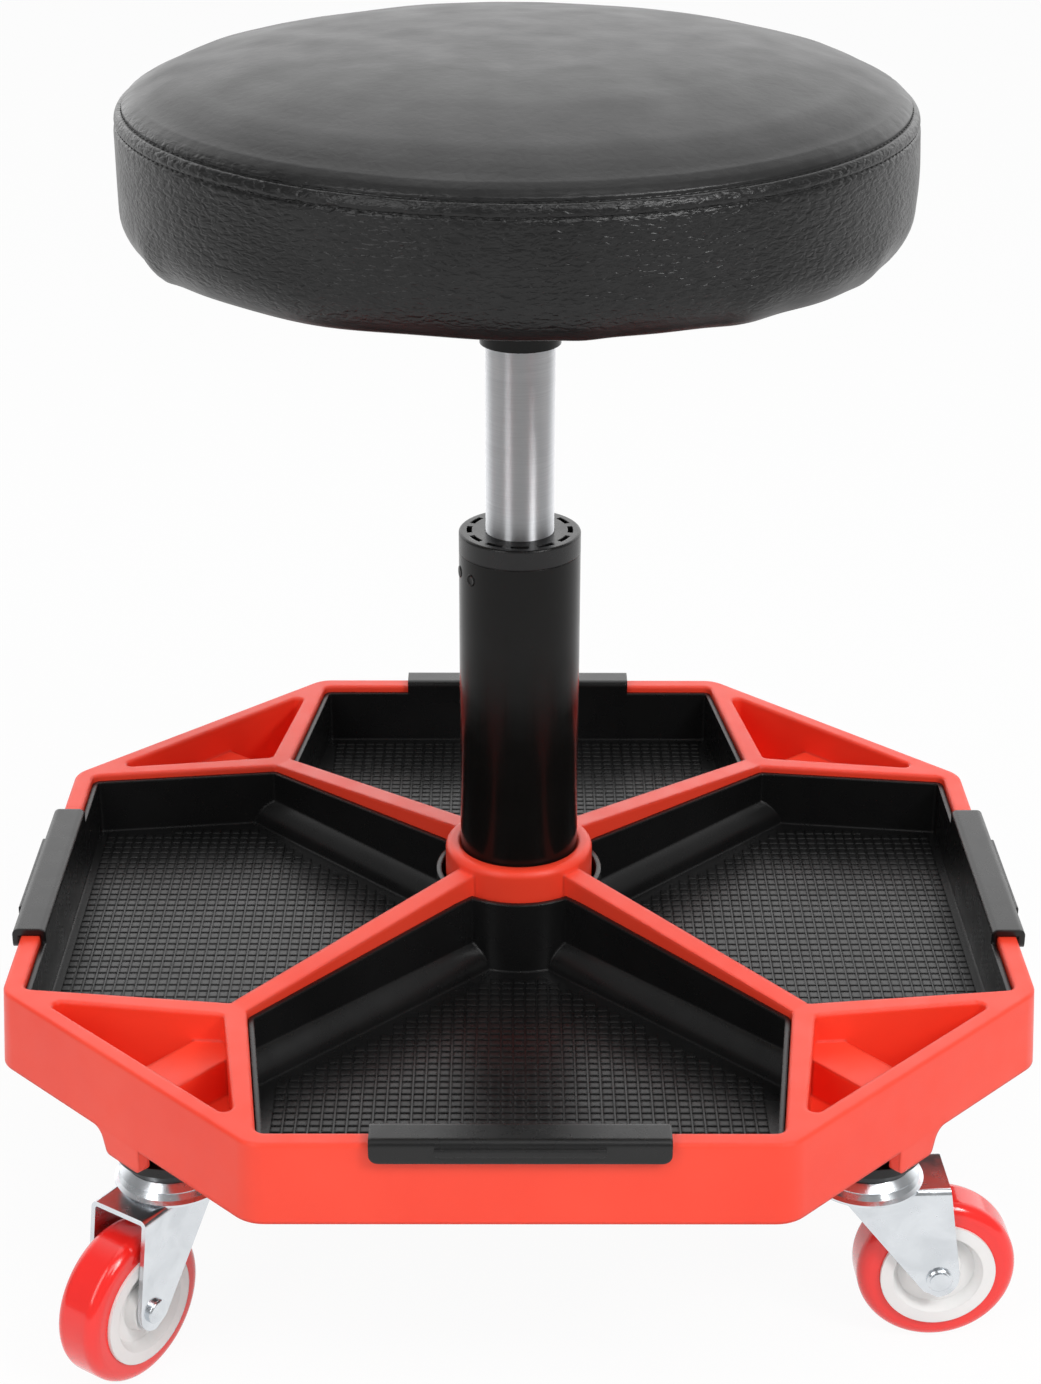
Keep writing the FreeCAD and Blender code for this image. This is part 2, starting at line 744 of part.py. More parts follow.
def make_column():
    tube = revolved("column_tube", [
        ("rod_radius + running_clearance", "tube_foot"),
        ("tube_foot_radius", "tube_foot"),
        ("tube_foot_radius", "rim_bottom"),
        ("tube_radius", "hub_top - hub_mouth_bevel"),
        ("tube_radius", "tube_top"),
        ("tube_bore", "tube_top"),
        ("tube_bore", "hub_top - hub_mouth_bevel"),
        ("tube_foot_radius - tube_wall", "rim_bottom"),
        ("tube_foot_radius - tube_wall", "bearing_bottom"),
        ("rod_radius + running_clearance", "bearing_bottom"),
    ])
    bush = new_body("guide_bush")
    outline = sketch(bush, "bush_outline", "XZ_Plane", [
        ("cylinder_radius + running_clearance", "tube_top - bush_sleeve_length"),
        ("tube_bore", "tube_top - bush_sleeve_length"),
        ("tube_bore", "tube_top"),
        ("tube_radius", "tube_top"),
        ("tube_radius", "bush_top - bush_edge"),
        ("tube_radius - bush_edge", "bush_top"),
        ("cylinder_radius + running_clearance", "bush_top"),
    ], arcs={4: ("bush_edge", 1)})
    turned(bush, "bush_turn", outline)
    doc.recompute()
    half = "bush_slot_angle / 2"
    inner = "bush_slot_outer - bush_slot_width"
    slot = sketch(bush, "bush_slot_outline", "XY_Plane", [
        (f"({inner}) * cos({half})", f"-({inner}) * sin({half})"),
        (f"bush_slot_outer * cos({half})", f"-bush_slot_outer * sin({half})"),
        (f"bush_slot_outer * cos({half})", f"bush_slot_outer * sin({half})"),
        (f"({inner}) * cos({half})", f"({inner}) * sin({half})"),
    ], arcs={1: ("bush_slot_outer", 1), 3: (inner, -1)}, out="bush_top")
    slot_cut = pocket(bush, "bush_slot", slot, "bush_slot_depth")
    around(bush, "bush_slots", [slot_cut], "bush_slot_count")
    bearing = revolved("thrust_bearing", [
        ("rod_radius + running_clearance", "bearing_bottom"),
        ("bearing_radius", "bearing_bottom"),
        ("bearing_radius", "shoulder_bottom"),
        ("rod_radius + running_clearance", "shoulder_bottom"),
    ])
    return [tube, bush, bearing]


def make_lift():
    rod = revolved("piston_rod", [
        ("0", "tube_foot - rod_tail"),
        ("rod_radius", "tube_foot - rod_tail"),
        ("rod_radius", "clip_top - clip_thickness"),
        ("rod_neck_radius", "clip_top - clip_thickness"),
        ("rod_neck_radius", "clip_top"),
        ("rod_radius", "clip_top"),
        ("rod_radius", "shoulder_bottom"),
        ("rod_shoulder_radius", "shoulder_bottom"),
        ("rod_shoulder_radius", "shoulder_top"),
        ("rod_radius", "shoulder_top"),
        ("rod_radius", "rod_top"),
        ("0", "rod_top"),
    ])
    clip = revolved("retaining_clip", [
        ("rod_neck_radius", "clip_top - clip_thickness"),
        ("clip_radius", "clip_top - clip_thickness"),
        ("clip_radius", "clip_top"),
        ("rod_neck_radius", "clip_top"),
    ])
    rubber = revolved("rubber_buffer", [
        ("rod_radius", "shoulder_top"),
        ("buffer_radius", "shoulder_top"),
        ("buffer_radius", "shoulder_top + buffer_height"),
        ("rod_radius", "shoulder_top + buffer_height"),
    ])
    piston = revolved("piston_head", [
        ("rod_radius", "rod_top - piston_height"),
        ("cylinder_bore - running_clearance", "rod_top - piston_height"),
        ("cylinder_bore - running_clearance", "rod_top"),
        ("rod_radius", "rod_top"),
    ])
    case = revolved("gas_cylinder", [
        ("cylinder_bore", "cylinder_foot"),
        ("cylinder_radius", "cylinder_foot"),
        ("cylinder_radius", "socket_foot"),
        ("cylinder_tip_radius", "cylinder_top"),
        ("button_radius + running_clearance", "cylinder_top"),
        ("button_radius + running_clearance", "cavity_top"),
        ("cylinder_bore", "cavity_top"),
    ])
    guide = revolved("rod_guide", [
        ("rod_radius + running_clearance", "cylinder_foot"),
        ("cylinder_bore", "cylinder_foot"),
        ("cylinder_bore", "guide_top"),
        ("rod_radius + running_clearance", "guide_top"),
    ])
    button = revolved("release_button", [
        ("0", "button_top - button_length"),
        ("button_radius", "button_top - button_length"),
        ("button_radius", "button_top"),
        ("0", "button_top"),
    ])
    return [rod, clip, rubber, piston, case, guide, button]


def make_seat():
    socket = new_body("taper_socket")
    turned(socket, "socket_turn", sketch(socket, "socket_outline", "XZ_Plane", [
        ("cylinder_radius", "socket_foot"),
        ("socket_radius", "socket_foot"),
        ("socket_radius", "plate_bottom"),
        ("cylinder_tip_radius", "plate_bottom"),
        ("cylinder_tip_radius", "cylinder_top"),
    ]))
    doc.recompute()
    window = sketch(socket, "window_outline", "XZ_Plane", [
        ("-socket_slot_width / 2", "plate_bottom - socket_slot_height"),
        ("socket_slot_width / 2", "plate_bottom - socket_slot_height"),
        ("socket_slot_width / 2", "plate_bottom"),
        ("-socket_slot_width / 2", "plate_bottom"),
    ], out="-(socket_radius + overrun)")
    pocket(socket, "lever_window", window, "socket_radius + overrun", reverse=True)

    plate = new_body("seat_plate")
    pad(plate, "plate_pad", sketch(plate, "plate_outline", "XY_Plane", [
        ("-plate_half_width", "-plate_half_width", "plate_corner_radius"),
        ("plate_half_width", "-plate_half_width", "plate_corner_radius"),
        ("plate_half_width", "plate_half_width", "plate_corner_radius"),
        ("-plate_half_width", "plate_half_width", "plate_corner_radius"),
    ], out="plate_bottom"), "plate_thickness")
    doc.recompute()
    hole = circle_sketch(plate, "plate_hole_outline", "XY_Plane", "screw_offset", "screw_offset",
                         "screw_radius", out="plate_bottom + plate_thickness")
    hole_cut = pocket(plate, "plate_hole", hole, "plate_thickness")
    around(plate, "plate_holes", [hole_cut], "4")
    for hand, start in (("right", "lever_width / 2 + ear_gap"),
                        ("left", "-(lever_width / 2 + ear_gap + ear_thickness)")):
        ear = sketch(plate, f"ear_outline_{hand}", "YZ_Plane", [
            ("lever_pivot - ear_half_width", "pivot_height"),
            ("lever_pivot", "pivot_height - ear_depth"),
            ("lever_pivot + ear_half_width", "pivot_height"),
            ("lever_pivot + ear_half_width", "plate_bottom"),
            ("lever_pivot - ear_half_width", "plate_bottom"),
        ], arcs={0: ("ear_half_width", 1), 1: ("ear_half_width", 1)}, out=start)
        pad(plate, f"ear_{hand}", ear, "ear_thickness")
    doc.recompute()
    pin_hole = circle_sketch(plate, "pin_hole_outline", "YZ_Plane", "lever_pivot", "pivot_height",
                             "lever_pin_radius")
    pocket(plate, "pin_hole", pin_hole, "2 * lever_width + 2 * ear_thickness", middle=True)

    board = revolved("seat_board", [
        ("0", "board_bottom"),
        ("board_radius", "board_bottom"),
        ("board_radius", "board_top"),
        ("0", "board_top"),
    ])
    doc.recompute()
    screw_hole = circle_sketch(board, "board_hole_outline", "XY_Plane", "screw_offset", "screw_offset",
                               "screw_radius", out="board_bottom + screw_length - plate_thickness")
    board_cut = pocket(board, "board_hole", screw_hole, "screw_length - plate_thickness")
    around(board, "board_holes", [board_cut], "4")

    (edge, edge_rise), (shoulder, shoulder_rise), (middle, middle_rise) = CROWN_POINT_SHARES
    edge_arc, shoulder_arc, top_arc = CROWN_ARC_SHARES
    cushion = revolved("seat_cushion", [
        ("board_radius - cover_return", "seat_underside"),
        ("seat_radius - seat_foot_radius", "seat_underside"),
        ("seat_radius", "seat_underside + seat_foot_radius"),
        ("seat_radius", "seat_seam - seam_depth"),
        ("seat_radius - seam_depth", "seat_seam"),
        ("seat_radius", "seat_seam + seam_depth"),
        ("seat_radius", "seat_edge - seam_depth"),
        ("seat_radius - seam_depth", "seat_edge"),
        (f"seat_radius * {edge}", f"seat_edge + crown_height * {edge_rise}"),
        (f"seat_radius * {shoulder}", f"seat_edge + crown_height * {shoulder_rise}"),
        (f"seat_radius * {middle}", f"seat_edge + crown_height * {middle_rise}"),
        ("0", "seat_edge + crown_height"),
        ("0", "board_top"),
        ("board_radius", "board_top"),
        ("board_radius", "board_bottom"),
        ("board_radius - cover_return", "board_bottom"),
    ], arcs={1: ("seat_foot_radius", 1),
             7: (f"seat_radius * {edge_arc}", 1),
             8: (f"seat_radius * {shoulder_arc}", 1),
             9: (f"seat_radius * {top_arc}", 1)})
    return [socket, plate, board, cushion] + [make_screw(name, *sign) for name, sign in CORNERS.items()]


def make_screw(name, x_sign, y_sign):
    screw = revolved(f"seat_screw_{name}", [
        ("0", "plate_bottom - screw_head_height"),
        ("screw_head_radius - axle_fillet", "plate_bottom - screw_head_height"),
        ("screw_head_radius", "plate_bottom - screw_head_height + axle_fillet"),
        ("screw_head_radius", "plate_bottom"),
        ("screw_radius", "plate_bottom"),
        ("screw_radius", "plate_bottom + screw_length"),
        ("0", "plate_bottom + screw_length"),
    ], arcs={1: ("axle_fillet", 1)})
    size(screw, "Placement.Base.x", f"{x_sign} * screw_offset")
    size(screw, "Placement.Base.y", f"{y_sign} * screw_offset")
    return screw


def make_lever():
    lever = new_body("release_lever")
    bar = sketch(lever, "lever_outline", "YZ_Plane", [
        ("-button_radius", "lever_under"),
        ("lever_pivot", "pivot_height - lever_thickness / 2"),
        ("lever_reach", "pivot_height - lever_fall - lever_thickness / 2"),
        ("lever_reach", "pivot_height - lever_fall + lever_thickness / 2"),
        ("lever_pivot", "pivot_height + lever_thickness / 2"),
        ("-button_radius", "lever_under + lever_thickness / 2"),
    ])
    pad(lever, "lever_pad", bar, "lever_width", middle=True)
    doc.recompute()
    hole = circle_sketch(lever, "lever_hole_outline", "YZ_Plane", "lever_pivot", "pivot_height",
                         "lever_pin_radius + running_clearance")
    pocket(lever, "lever_hole", hole, "2 * lever_width", middle=True)

    grip = new_body("lever_grip")
    outline = sketch(grip, "grip_outline", "XY_Plane", [
        ("-grip_width / 2", "0", "grip_thickness / 2"),
        ("grip_width / 2", "0", "grip_thickness / 2"),
        ("grip_width / 2", "grip_length", "grip_width / 2 - lever_gap"),
        ("-grip_width / 2", "grip_length", "grip_width / 2 - lever_gap"),
    ])
    pad(grip, "grip_pad", outline, "grip_thickness", middle=True)
    size(grip, "Placement.Base.y", "lever_reach")
    size(grip, "Placement.Base.z", "pivot_height - lever_fall")

    pin = new_body("lever_pin")
    pad(pin, "pin_pad", circle_sketch(pin, "pin_outline", "YZ_Plane", "lever_pivot", "pivot_height",
                                      "lever_pin_radius"),
        "lever_width + 2 * ear_gap + 2 * ear_thickness", middle=True)
    return [lever, grip, pin]


def place_on_caster(item, name, along="0", height="0"):
    """Stand an item at a caster's swivel axis, turned to its trail."""
    x_sign, y_sign = CORNERS[name]
    angle = f"trail_{name}"
    item.Placement = Placement(Vector(), Rotation(Vector(0, 0, 1), value(angle)))
    size(item, "Placement.Base.x", f"{x_sign} * swivel_offset + ({along}) * cos({angle})")
    size(item, "Placement.Base.y", f"{y_sign} * swivel_offset + ({along}) * sin({angle})")
    size(item, "Placement.Base.z", height)
    return item


def make_fork(name):
    body = new_body(f"fork_{name}")
    cheek = sketch(body, f"cheek_outline_{name}", "XZ_Plane", [
        ("-fork_back", "fork_top"),
        ("-fork_back", "fork_top - fork_sheet"),
        ("trail - fork_toe_radius", "fork_toe_height + fork_toe_radius / 2"),
        ("trail", "fork_toe_height"),
        ("fork_hip", "wheel_radius"),
        ("fork_hip", "fork_hip_height"),
        ("fork_front", "fork_top"),
    ], arcs={3: ("wheel_radius - fork_toe_height", 1)})
    pad(body, f"cheek_{name}", cheek, "fork_width", middle=True)
    top = value("fork_top")
    rounded(body, f"cheek_bends_{name}",
            lambda edge: level(edge, top) and edge.Length > value("fork_front"), "fork_bend")
    inside = sketch(body, f"fork_gap_outline_{name}", "YZ_Plane", [
        ("-leg_inside", "-overrun"),
        ("leg_inside", "-overrun"),
        ("leg_inside", "fork_top - fork_sheet", "fork_bend - fork_sheet"),
        ("-leg_inside", "fork_top - fork_sheet", "fork_bend - fork_sheet"),
    ])
    pocket(body, f"fork_gap_{name}", inside, "2 * (fork_hip + overrun)", middle=True)
    crown = sketch(body, f"crown_outline_{name}", "XZ_Plane", [
        ("0", "fork_top - fork_sheet"),
        ("leg_inside", "fork_top - fork_sheet"),
        ("crown_radius", "fork_top - fork_sheet / 2"),
        ("crown_radius", "fork_top"),
        ("crown_radius - crown_rise / 2", "fork_top + fork_sheet / 2"),
        ("crown_radius - crown_rise", "crown_top"),
        ("0", "crown_top"),
    ])
    turned(body, f"crown_{name}", crown)
    doc.recompute()
    hole = circle_sketch(body, f"king_hole_outline_{name}", "XY_Plane", "0", "0",
                         "stem_radius + running_clearance", out="crown_top + overrun")
    pocket(body, f"king_hole_{name}", hole, "crown_rise + fork_sheet + 2 * overrun")
    axle = circle_sketch(body, f"axle_hole_outline_{name}", "XZ_Plane", "trail", "wheel_radius",
                         "axle_radius")
    pocket(body, f"axle_hole_{name}", axle, "2 * fork_width", middle=True)
    return place_on_caster(body, name)


def make_caster(name):
    tread = revolved(f"wheel_tread_{name}", [
        ("wheel_hub_radius", "-tread_width / 2"),
        ("wheel_radius - tread_edge_radius", "-tread_width / 2"),
        ("wheel_radius", "-(tread_width / 2 - tread_edge_radius)"),
        ("wheel_radius", "tread_width / 2 - tread_edge_radius"),
        ("wheel_radius - tread_edge_radius", "tread_width / 2"),
        ("wheel_hub_radius", "tread_width / 2"),
    ], arcs={1: ("tread_edge_radius", 1), 3: ("tread_edge_radius", 1)}, plane="XY_Plane")
    face = "wheel_hub_width / 2"
    hub = revolved(f"wheel_hub_{name}", [
        ("axle_radius + running_clearance", f"-{face}"),
        ("dish_inner", f"-{face}"),
        ("dish_inner + dish_slope / 2", f"-({face} - dish_depth)"),
        ("dish_outer - dish_slope", f"-({face} - dish_depth)"),
        ("dish_outer", f"-{face}"),
        ("wheel_hub_radius", f"-{face}"),
        ("wheel_hub_radius", face),
        ("dish_outer", face),
        ("dish_outer - dish_slope", f"{face} - dish_depth"),
        ("dish_inner + dish_slope / 2", f"{face} - dish_depth"),
        ("dish_inner", face),
        ("axle_radius + running_clearance", face),
    ], plane="XY_Plane")
    bolt = revolved(f"axle_bolt_{name}", [
        ("0", "-axle_reach"),
        ("axle_radius", "-axle_reach"),
        ("axle_radius", "fork_width / 2"),
        ("axle_head_radius", "fork_width / 2"),
        ("axle_head_radius", "axle_reach - axle_fillet"),
        ("axle_head_radius - axle_fillet", "axle_reach"),
        ("0", "axle_reach"),
    ], arcs={4: ("axle_fillet", 1)}, plane="XY_Plane")
    nut = revolved(f"axle_nut_{name}", [
        ("axle_radius", "-(axle_reach - axle_fillet / 2)"),
        ("nut_radius - axle_fillet / 2", "-(axle_reach - axle_fillet / 2)"),
        ("nut_radius", "-(axle_reach - axle_fillet)"),
        ("nut_radius", "-fork_width / 2"),
        ("axle_radius", "-fork_width / 2"),
    ], plane="XY_Plane")
    for item in (tread, hub, bolt, nut):
        place_on_caster(item, name, along="trail", height="wheel_radius")

    race = revolved(f"swivel_race_{name}", [
        ("stem_radius", "race_bottom"),
        ("race_radius - race_edge", "race_bottom"),
        ("race_radius", "race_bottom + race_edge"),
        ("race_radius - race_lip", "race_top"),
        ("stem_radius", "race_top"),
    ], arcs={1: ("race_edge", 1)})
    socket = revolved(f"caster_socket_{name}", [
        ("stem_radius", "race_top"),
        ("socket_bottom_radius", "race_top"),
        ("socket_cup_radius", "race_top + socket_cup_height"),
        ("socket_cup_radius", "socket_cup_top"),
        ("socket_neck_radius", "socket_cup_top"),
        ("socket_neck_radius", "rim_bottom"),
        ("socket_spigot_radius", "rim_bottom"),
        ("socket_spigot_radius", "rim_bottom + socket_spigot_height"),
        ("stem_radius", "rim_bottom + socket_spigot_height"),
    ])
    stem = revolved(f"caster_stem_{name}", [
        ("0", "fork_top - fork_sheet - stem_gap - stem_head_height"),
        ("stem_head_radius - axle_fillet", "fork_top - fork_sheet - stem_gap - stem_head_height"),
        ("stem_head_radius", "fork_top - fork_sheet - stem_gap - stem_head_height + axle_fillet"),
        ("stem_head_radius", "fork_top - fork_sheet - stem_gap"),
        ("stem_radius", "fork_top - fork_sheet - stem_gap"),
        ("stem_radius", "rim_bottom + socket_spigot_height"),
        ("0", "rim_bottom + socket_spigot_height"),
    ], arcs={1: ("axle_fillet", 1)})
    for item in (race, socket, stem):
        place_on_caster(item, name)
    return [tread, hub, bolt, nut, race, socket, stem, make_fork(name)]


parts = [make_base_frame()] + make_column() + make_lift() + make_seat() + make_lever()
parts += [make_tray(side, angle) for side, angle in SIDES.items()]
for corner_name in CORNERS:
    parts += make_caster(corner_name)
doc.recompute()

for item in doc.Objects:
    if "Invalid" in item.State or "Error" in item.State:
        raise RuntimeError(f"{item.Label} failed: {item.State}")
os.makedirs("parts", exist_ok=True)
for part in parts:
    if part.Shape.isNull() or not part.Shape.isValid():
        raise RuntimeError(f"{part.Label} has no valid shape")
for part in parts:
    part.Shape.exportStep(f"parts/{part.Label}.step")
print(f"{len(parts)} parts written")
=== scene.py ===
"""Looks of the creeper seat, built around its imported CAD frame. Lengths are in metres."""

import json
import math

import bmesh
import bpy
import numpy as np
from mathutils import Matrix, Vector
from mathutils.bvhtree import BVHTree


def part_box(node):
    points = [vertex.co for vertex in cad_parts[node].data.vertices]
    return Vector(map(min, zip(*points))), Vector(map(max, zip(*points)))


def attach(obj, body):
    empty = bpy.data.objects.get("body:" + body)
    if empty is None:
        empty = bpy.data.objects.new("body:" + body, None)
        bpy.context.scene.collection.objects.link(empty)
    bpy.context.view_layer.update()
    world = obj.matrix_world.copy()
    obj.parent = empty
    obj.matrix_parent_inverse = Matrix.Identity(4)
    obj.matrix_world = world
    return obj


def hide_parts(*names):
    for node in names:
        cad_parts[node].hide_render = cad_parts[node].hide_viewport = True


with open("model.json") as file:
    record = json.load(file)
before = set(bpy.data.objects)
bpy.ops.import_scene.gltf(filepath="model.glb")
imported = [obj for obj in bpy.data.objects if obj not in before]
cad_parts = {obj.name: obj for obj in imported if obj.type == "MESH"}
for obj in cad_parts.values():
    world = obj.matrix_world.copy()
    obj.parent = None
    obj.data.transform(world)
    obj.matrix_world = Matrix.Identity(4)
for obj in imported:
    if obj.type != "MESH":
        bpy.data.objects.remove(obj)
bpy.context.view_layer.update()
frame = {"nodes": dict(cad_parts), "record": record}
nodes = frame["nodes"]
SIDES = ("front", "right", "back", "left")

# Seat pad: its outer profile from under the board to the middle of the crown
SEAT_RADIUS = 0.1526
PAD_BOTTOM = 0.4166
FOOT_RADIUS = 0.015
BOARD_RADIUS = 0.138
BOARD_BOTTOM = 0.4186
BOARD_TOP = 0.4306
RETURN_RADIUS = 0.103
LOWER_SEAM = 0.4646
BAND_CURVE = 0.0085
BAND_TURN = 45
UPPER_SEAM_RADIUS = 0.1503
CROWN_EDGE = 0.4695
CROWN_HEIGHT = 0.0235
# Points of the crown, as shares of the seat's radius and of the crown's height
CROWN_SHARES = (
    (0.9837, 0.047), (0.97, 0.135), (0.95, 0.238), (0.9, 0.4), (0.85, 0.53), (0.75, 0.665),
    (0.65, 0.783), (0.52, 0.875), (0.4, 0.94), (0.2, 0.985), (0, 1),
)
# The pad's side lies outside this radius
SIDE_FROM = 0.14
# How far the seams sag at the front, and how far the cover sits off its axis
FRONT_DROP = 0.0045
SEAT_PLAY = -0.0016


def crown_radii(count):
    """Radius and height of the crown at even steps from its seam to its middle."""
    shares, heights = np.array(CROWN_SHARES[::-1], float).T
    at = np.linspace(CROWN_SHARES[0][0], 0, count)
    return [(SEAT_RADIUS * a, CROWN_EDGE + CROWN_HEIGHT * np.interp(a, shares, heights))
            for a in at]


def foot_arc(inset, count=9):
    """The rounded lower edge of the pad, from its flat underside to its side."""
    centre = (SEAT_RADIUS - FOOT_RADIUS, PAD_BOTTOM + FOOT_RADIUS)
    radius = FOOT_RADIUS - inset
    turn = np.radians(np.linspace(-90, 0, count))
    return [(centre[0] + radius * math.cos(a), centre[1] + radius * math.sin(a)) for a in turn]


def band_arc(count):
    """The rolled band between the two seams, from its upright foot to the crown."""
    turn = np.radians(np.linspace(0, BAND_TURN, count))
    return [(SEAT_RADIUS - BAND_CURVE * (1 - math.cos(a)), LOWER_SEAM + BAND_CURVE * math.sin(a))
            for a in turn]


# Helpers for lines and meshes


def line_run(points):
    """How far along a line each of its points lies."""
    return np.concatenate([[0], np.cumsum(np.hypot(*np.diff(points, axis=0).T))])


def resampled(points, step):
    """A line's points at about even steps."""
    points = np.array(points, float)
    run = line_run(points)
    at = np.linspace(0, run[-1], max(2, int(round(run[-1] / step)) + 1))
    return np.stack([np.interp(at, run, points[:, 0]), np.interp(at, run, points[:, 1])], 1)


def smoothed_round(values, passes):
    """Values evened out along their second axis, which closes on itself."""
    for _ in range(passes):
        values = (np.roll(values, 1, 1) + 2 * values + np.roll(values, -1, 1)) / 4
    return values


def bell(distance, width):
    """A smooth hump that is 1 in its middle."""
    return np.exp(-((distance / width) ** 2))


def full_turn(count):
    """Angles at even steps round the upright axis, from the front."""
    return np.arange(count) * 2 * math.pi / count


def mesh_object(name, points, faces, smooth=True):
    """An object in the scene, made of these points and faces."""
    mesh = bpy.data.meshes.new(name)
    mesh.from_pydata([tuple(p) for p in points], [], [tuple(f) for f in faces])
    mesh.validate()
    mesh.update()
    if smooth:
        mesh.polygons.foreach_set("use_smooth", [True] * len(mesh.polygons))
    made = bpy.data.objects.new(name, mesh)
    bpy.context.scene.collection.objects.link(made)
    return made


def ring_faces(rings, around):
    """Quads that join each closed ring of points to the next."""
    faces = []
    for i in range(rings - 1):
        near, far = i * around, (i + 1) * around
        for j in range(around):
            k = (j + 1) % around
            faces.append((near + j, near + k, far + k, far + j))
    return faces


def revolved(name, profile, segments):
    """A closed solid of revolution; the profile's first and last points are on the axis."""
    rings = len(profile) - 2
    turn = full_turn(segments)
    points = [(0, 0, profile[0][1])]
    for r, z in profile[1:-1]:
        points += [(r * math.sin(a), -r * math.cos(a), z) for a in turn]
    points.append((0, 0, profile[-1][1]))
    last = 1 + (rings - 1) * segments
    faces = []
    for j in range(segments):
        k = (j + 1) % segments
        faces.append((0, 1 + k, 1 + j))
        for i in range(rings - 1):
            a, b = 1 + i * segments, 1 + (i + 1) * segments
            faces.append((a + j, a + k, b + k, b + j))
        faces.append((last + j, last + k, len(points) - 1))
    return mesh_object(name, points, faces)


def surface_tree(mesh):
    """A tree of the mesh's faces, to cast rays at."""
    corners = [v.co.copy() for v in mesh.vertices]
    return BVHTree.FromPolygons(corners, [list(p.vertices) for p in mesh.polygons])


def applied(made):
    """Makes the object's modifiers part of its mesh."""
    graph = bpy.context.evaluated_depsgraph_get()
    mesh = bpy.data.meshes.new_from_object(made.evaluated_get(graph))
    made.modifiers.clear()
    made.data = mesh


# Materials

# Parts of a noise pattern's range over which two colours, or two roughnesses, blend
NARROW = (0.35, 0.65)
WIDE = (0.3, 0.7)


class Shade:
    """A Principled material with helpers for the nodes that give it its detail."""

    def __init__(self, name, **sockets):
        self.material = bpy.data.materials.new(name)
        self.material.use_nodes = True
        self.tree = self.material.node_tree
        self.bsdf = self.tree.nodes["Principled BSDF"]
        for socket, number in sockets.items():
            self.bsdf.inputs[socket.replace("_", " ")].default_value = number
        self.place = self.node("ShaderNodeTexCoord").outputs["Object"]

    def node(self, kind, **settings):
        made = self.tree.nodes.new(kind)
        for setting, choice in settings.items():
            setattr(made, setting, choice)
        return made

    def link(self, source, target):
        self.tree.links.new(source, target)

    def stretched(self, scale):
        mapping = self.node("ShaderNodeMapping")
        mapping.inputs["Scale"].default_value = scale
        self.link(self.place, mapping.inputs["Vector"])
        return mapping.outputs["Vector"]

    def noise(self, scale, detail, stretch=None, distortion=0):
        made = self.node("ShaderNodeTexNoise")
        made.inputs["Scale"].default_value = scale
        made.inputs["Detail"].default_value = detail
        made.inputs["Distortion"].default_value = distortion
        self.link(self.stretched(stretch) if stretch else self.place, made.inputs["Vector"])
        return made.outputs["Fac"]

    def ranged(self, value, from_low, from_high, low, high):
        made = self.node("ShaderNodeMapRange")
        sockets = ("From Min", "From Max", "To Min", "To Max")
        for socket, number in zip(sockets, (from_low, from_high, low, high)):
            made.inputs[socket].default_value = number
        self.link(value, made.inputs["Value"])
        return made.outputs["Result"]

    def maths(self, operation, first, second):
        made = self.node("ShaderNodeMath", operation=operation)
        for socket, value in zip(made.inputs, (first, second)):
            if isinstance(value, (int, float)):
                socket.default_value = value
            else:
                self.link(value, socket)
        return made.outputs["Value"]

    def colours(self, factor, first, second):
        made = self.node("ShaderNodeMix", data_type="RGBA")
        self.link(factor, made.inputs["Factor"])
        made.inputs["A"].default_value = (*first, 1)
        made.inputs["B"].default_value = (*second, 1)
        self.link(made.outputs["Result"], self.bsdf.inputs["Base Color"])

    def clouded(self, pattern, first, second, span=NARROW):
        self.colours(self.ranged(pattern, *span, 0, 1), first, second)

    def rough(self, pattern, low, high):
        self.link(self.ranged(pattern, *WIDE, low, high), self.bsdf.inputs["Roughness"])

    def bump(self, height, distance, under=None, strength=1):
        made = self.node("ShaderNodeBump")
        made.inputs["Distance"].default_value = distance
        made.inputs["Strength"].default_value = strength
        self.link(height, made.inputs["Height"])
        if under is not None:
            self.link(under, made.inputs["Normal"])
        self.link(made.outputs["Normal"], self.bsdf.inputs["Normal"])
        return made.outputs["Normal"]


def moulded(name, first, second, rough, peel=0.00003, edge=0.0007, **sockets):
    """Moulded plastic: faint clouds, a fine skin texture, slow waves and softened edges."""
    shade = Shade(name, **sockets)
    shade.clouded(shade.noise(scale=14, detail=4), first, second)
    shade.rough(shade.noise(scale=90, detail=5), *rough)
    soft_edges = shade.node("ShaderNodeBevel", samples=4)
    soft_edges.inputs["Radius"].default_value = edge
    waves = shade.bump(shade.noise(scale=45, detail=2), distance=0.0002,
                       under=soft_edges.outputs["Normal"], strength=0.35)
    shade.bump(shade.noise(scale=2200, detail=3), distance=peel, under=waves, strength=0.8)
    return shade.material


def plated(name, first, second, rough):
    """Bright plated sheet steel: slow clouds in its shine and fine rolling marks."""
    shade = Shade(name, Metallic=1)
    shade.clouded(shade.noise(scale=70, detail=5, distortion=0.6), first, second)
    shade.rough(shade.noise(scale=160, detail=6), *rough)
    waves = shade.bump(shade.noise(scale=60, detail=2), distance=0.0003, strength=0.4)
    marks = shade.noise(scale=900, detail=4, stretch=(1, 1, 0.12))
    shade.bump(marks, distance=0.00002, under=waves, strength=0.5)
    return shade.material


def turned_steel(name, first, second, rough, depth=0.6, **sockets):
    """Ground or turned steel: fine rings round the upright axis."""
    shade = Shade(name, Metallic=1, **sockets)
    rings = shade.noise(scale=60, detail=6, stretch=(1, 1, 90))
    shade.clouded(rings, first, second)
    shade.rough(shade.noise(scale=25, detail=4, stretch=(1, 1, 60)), *rough)
    shade.bump(rings, distance=0.00002, strength=depth)
    return shade.material


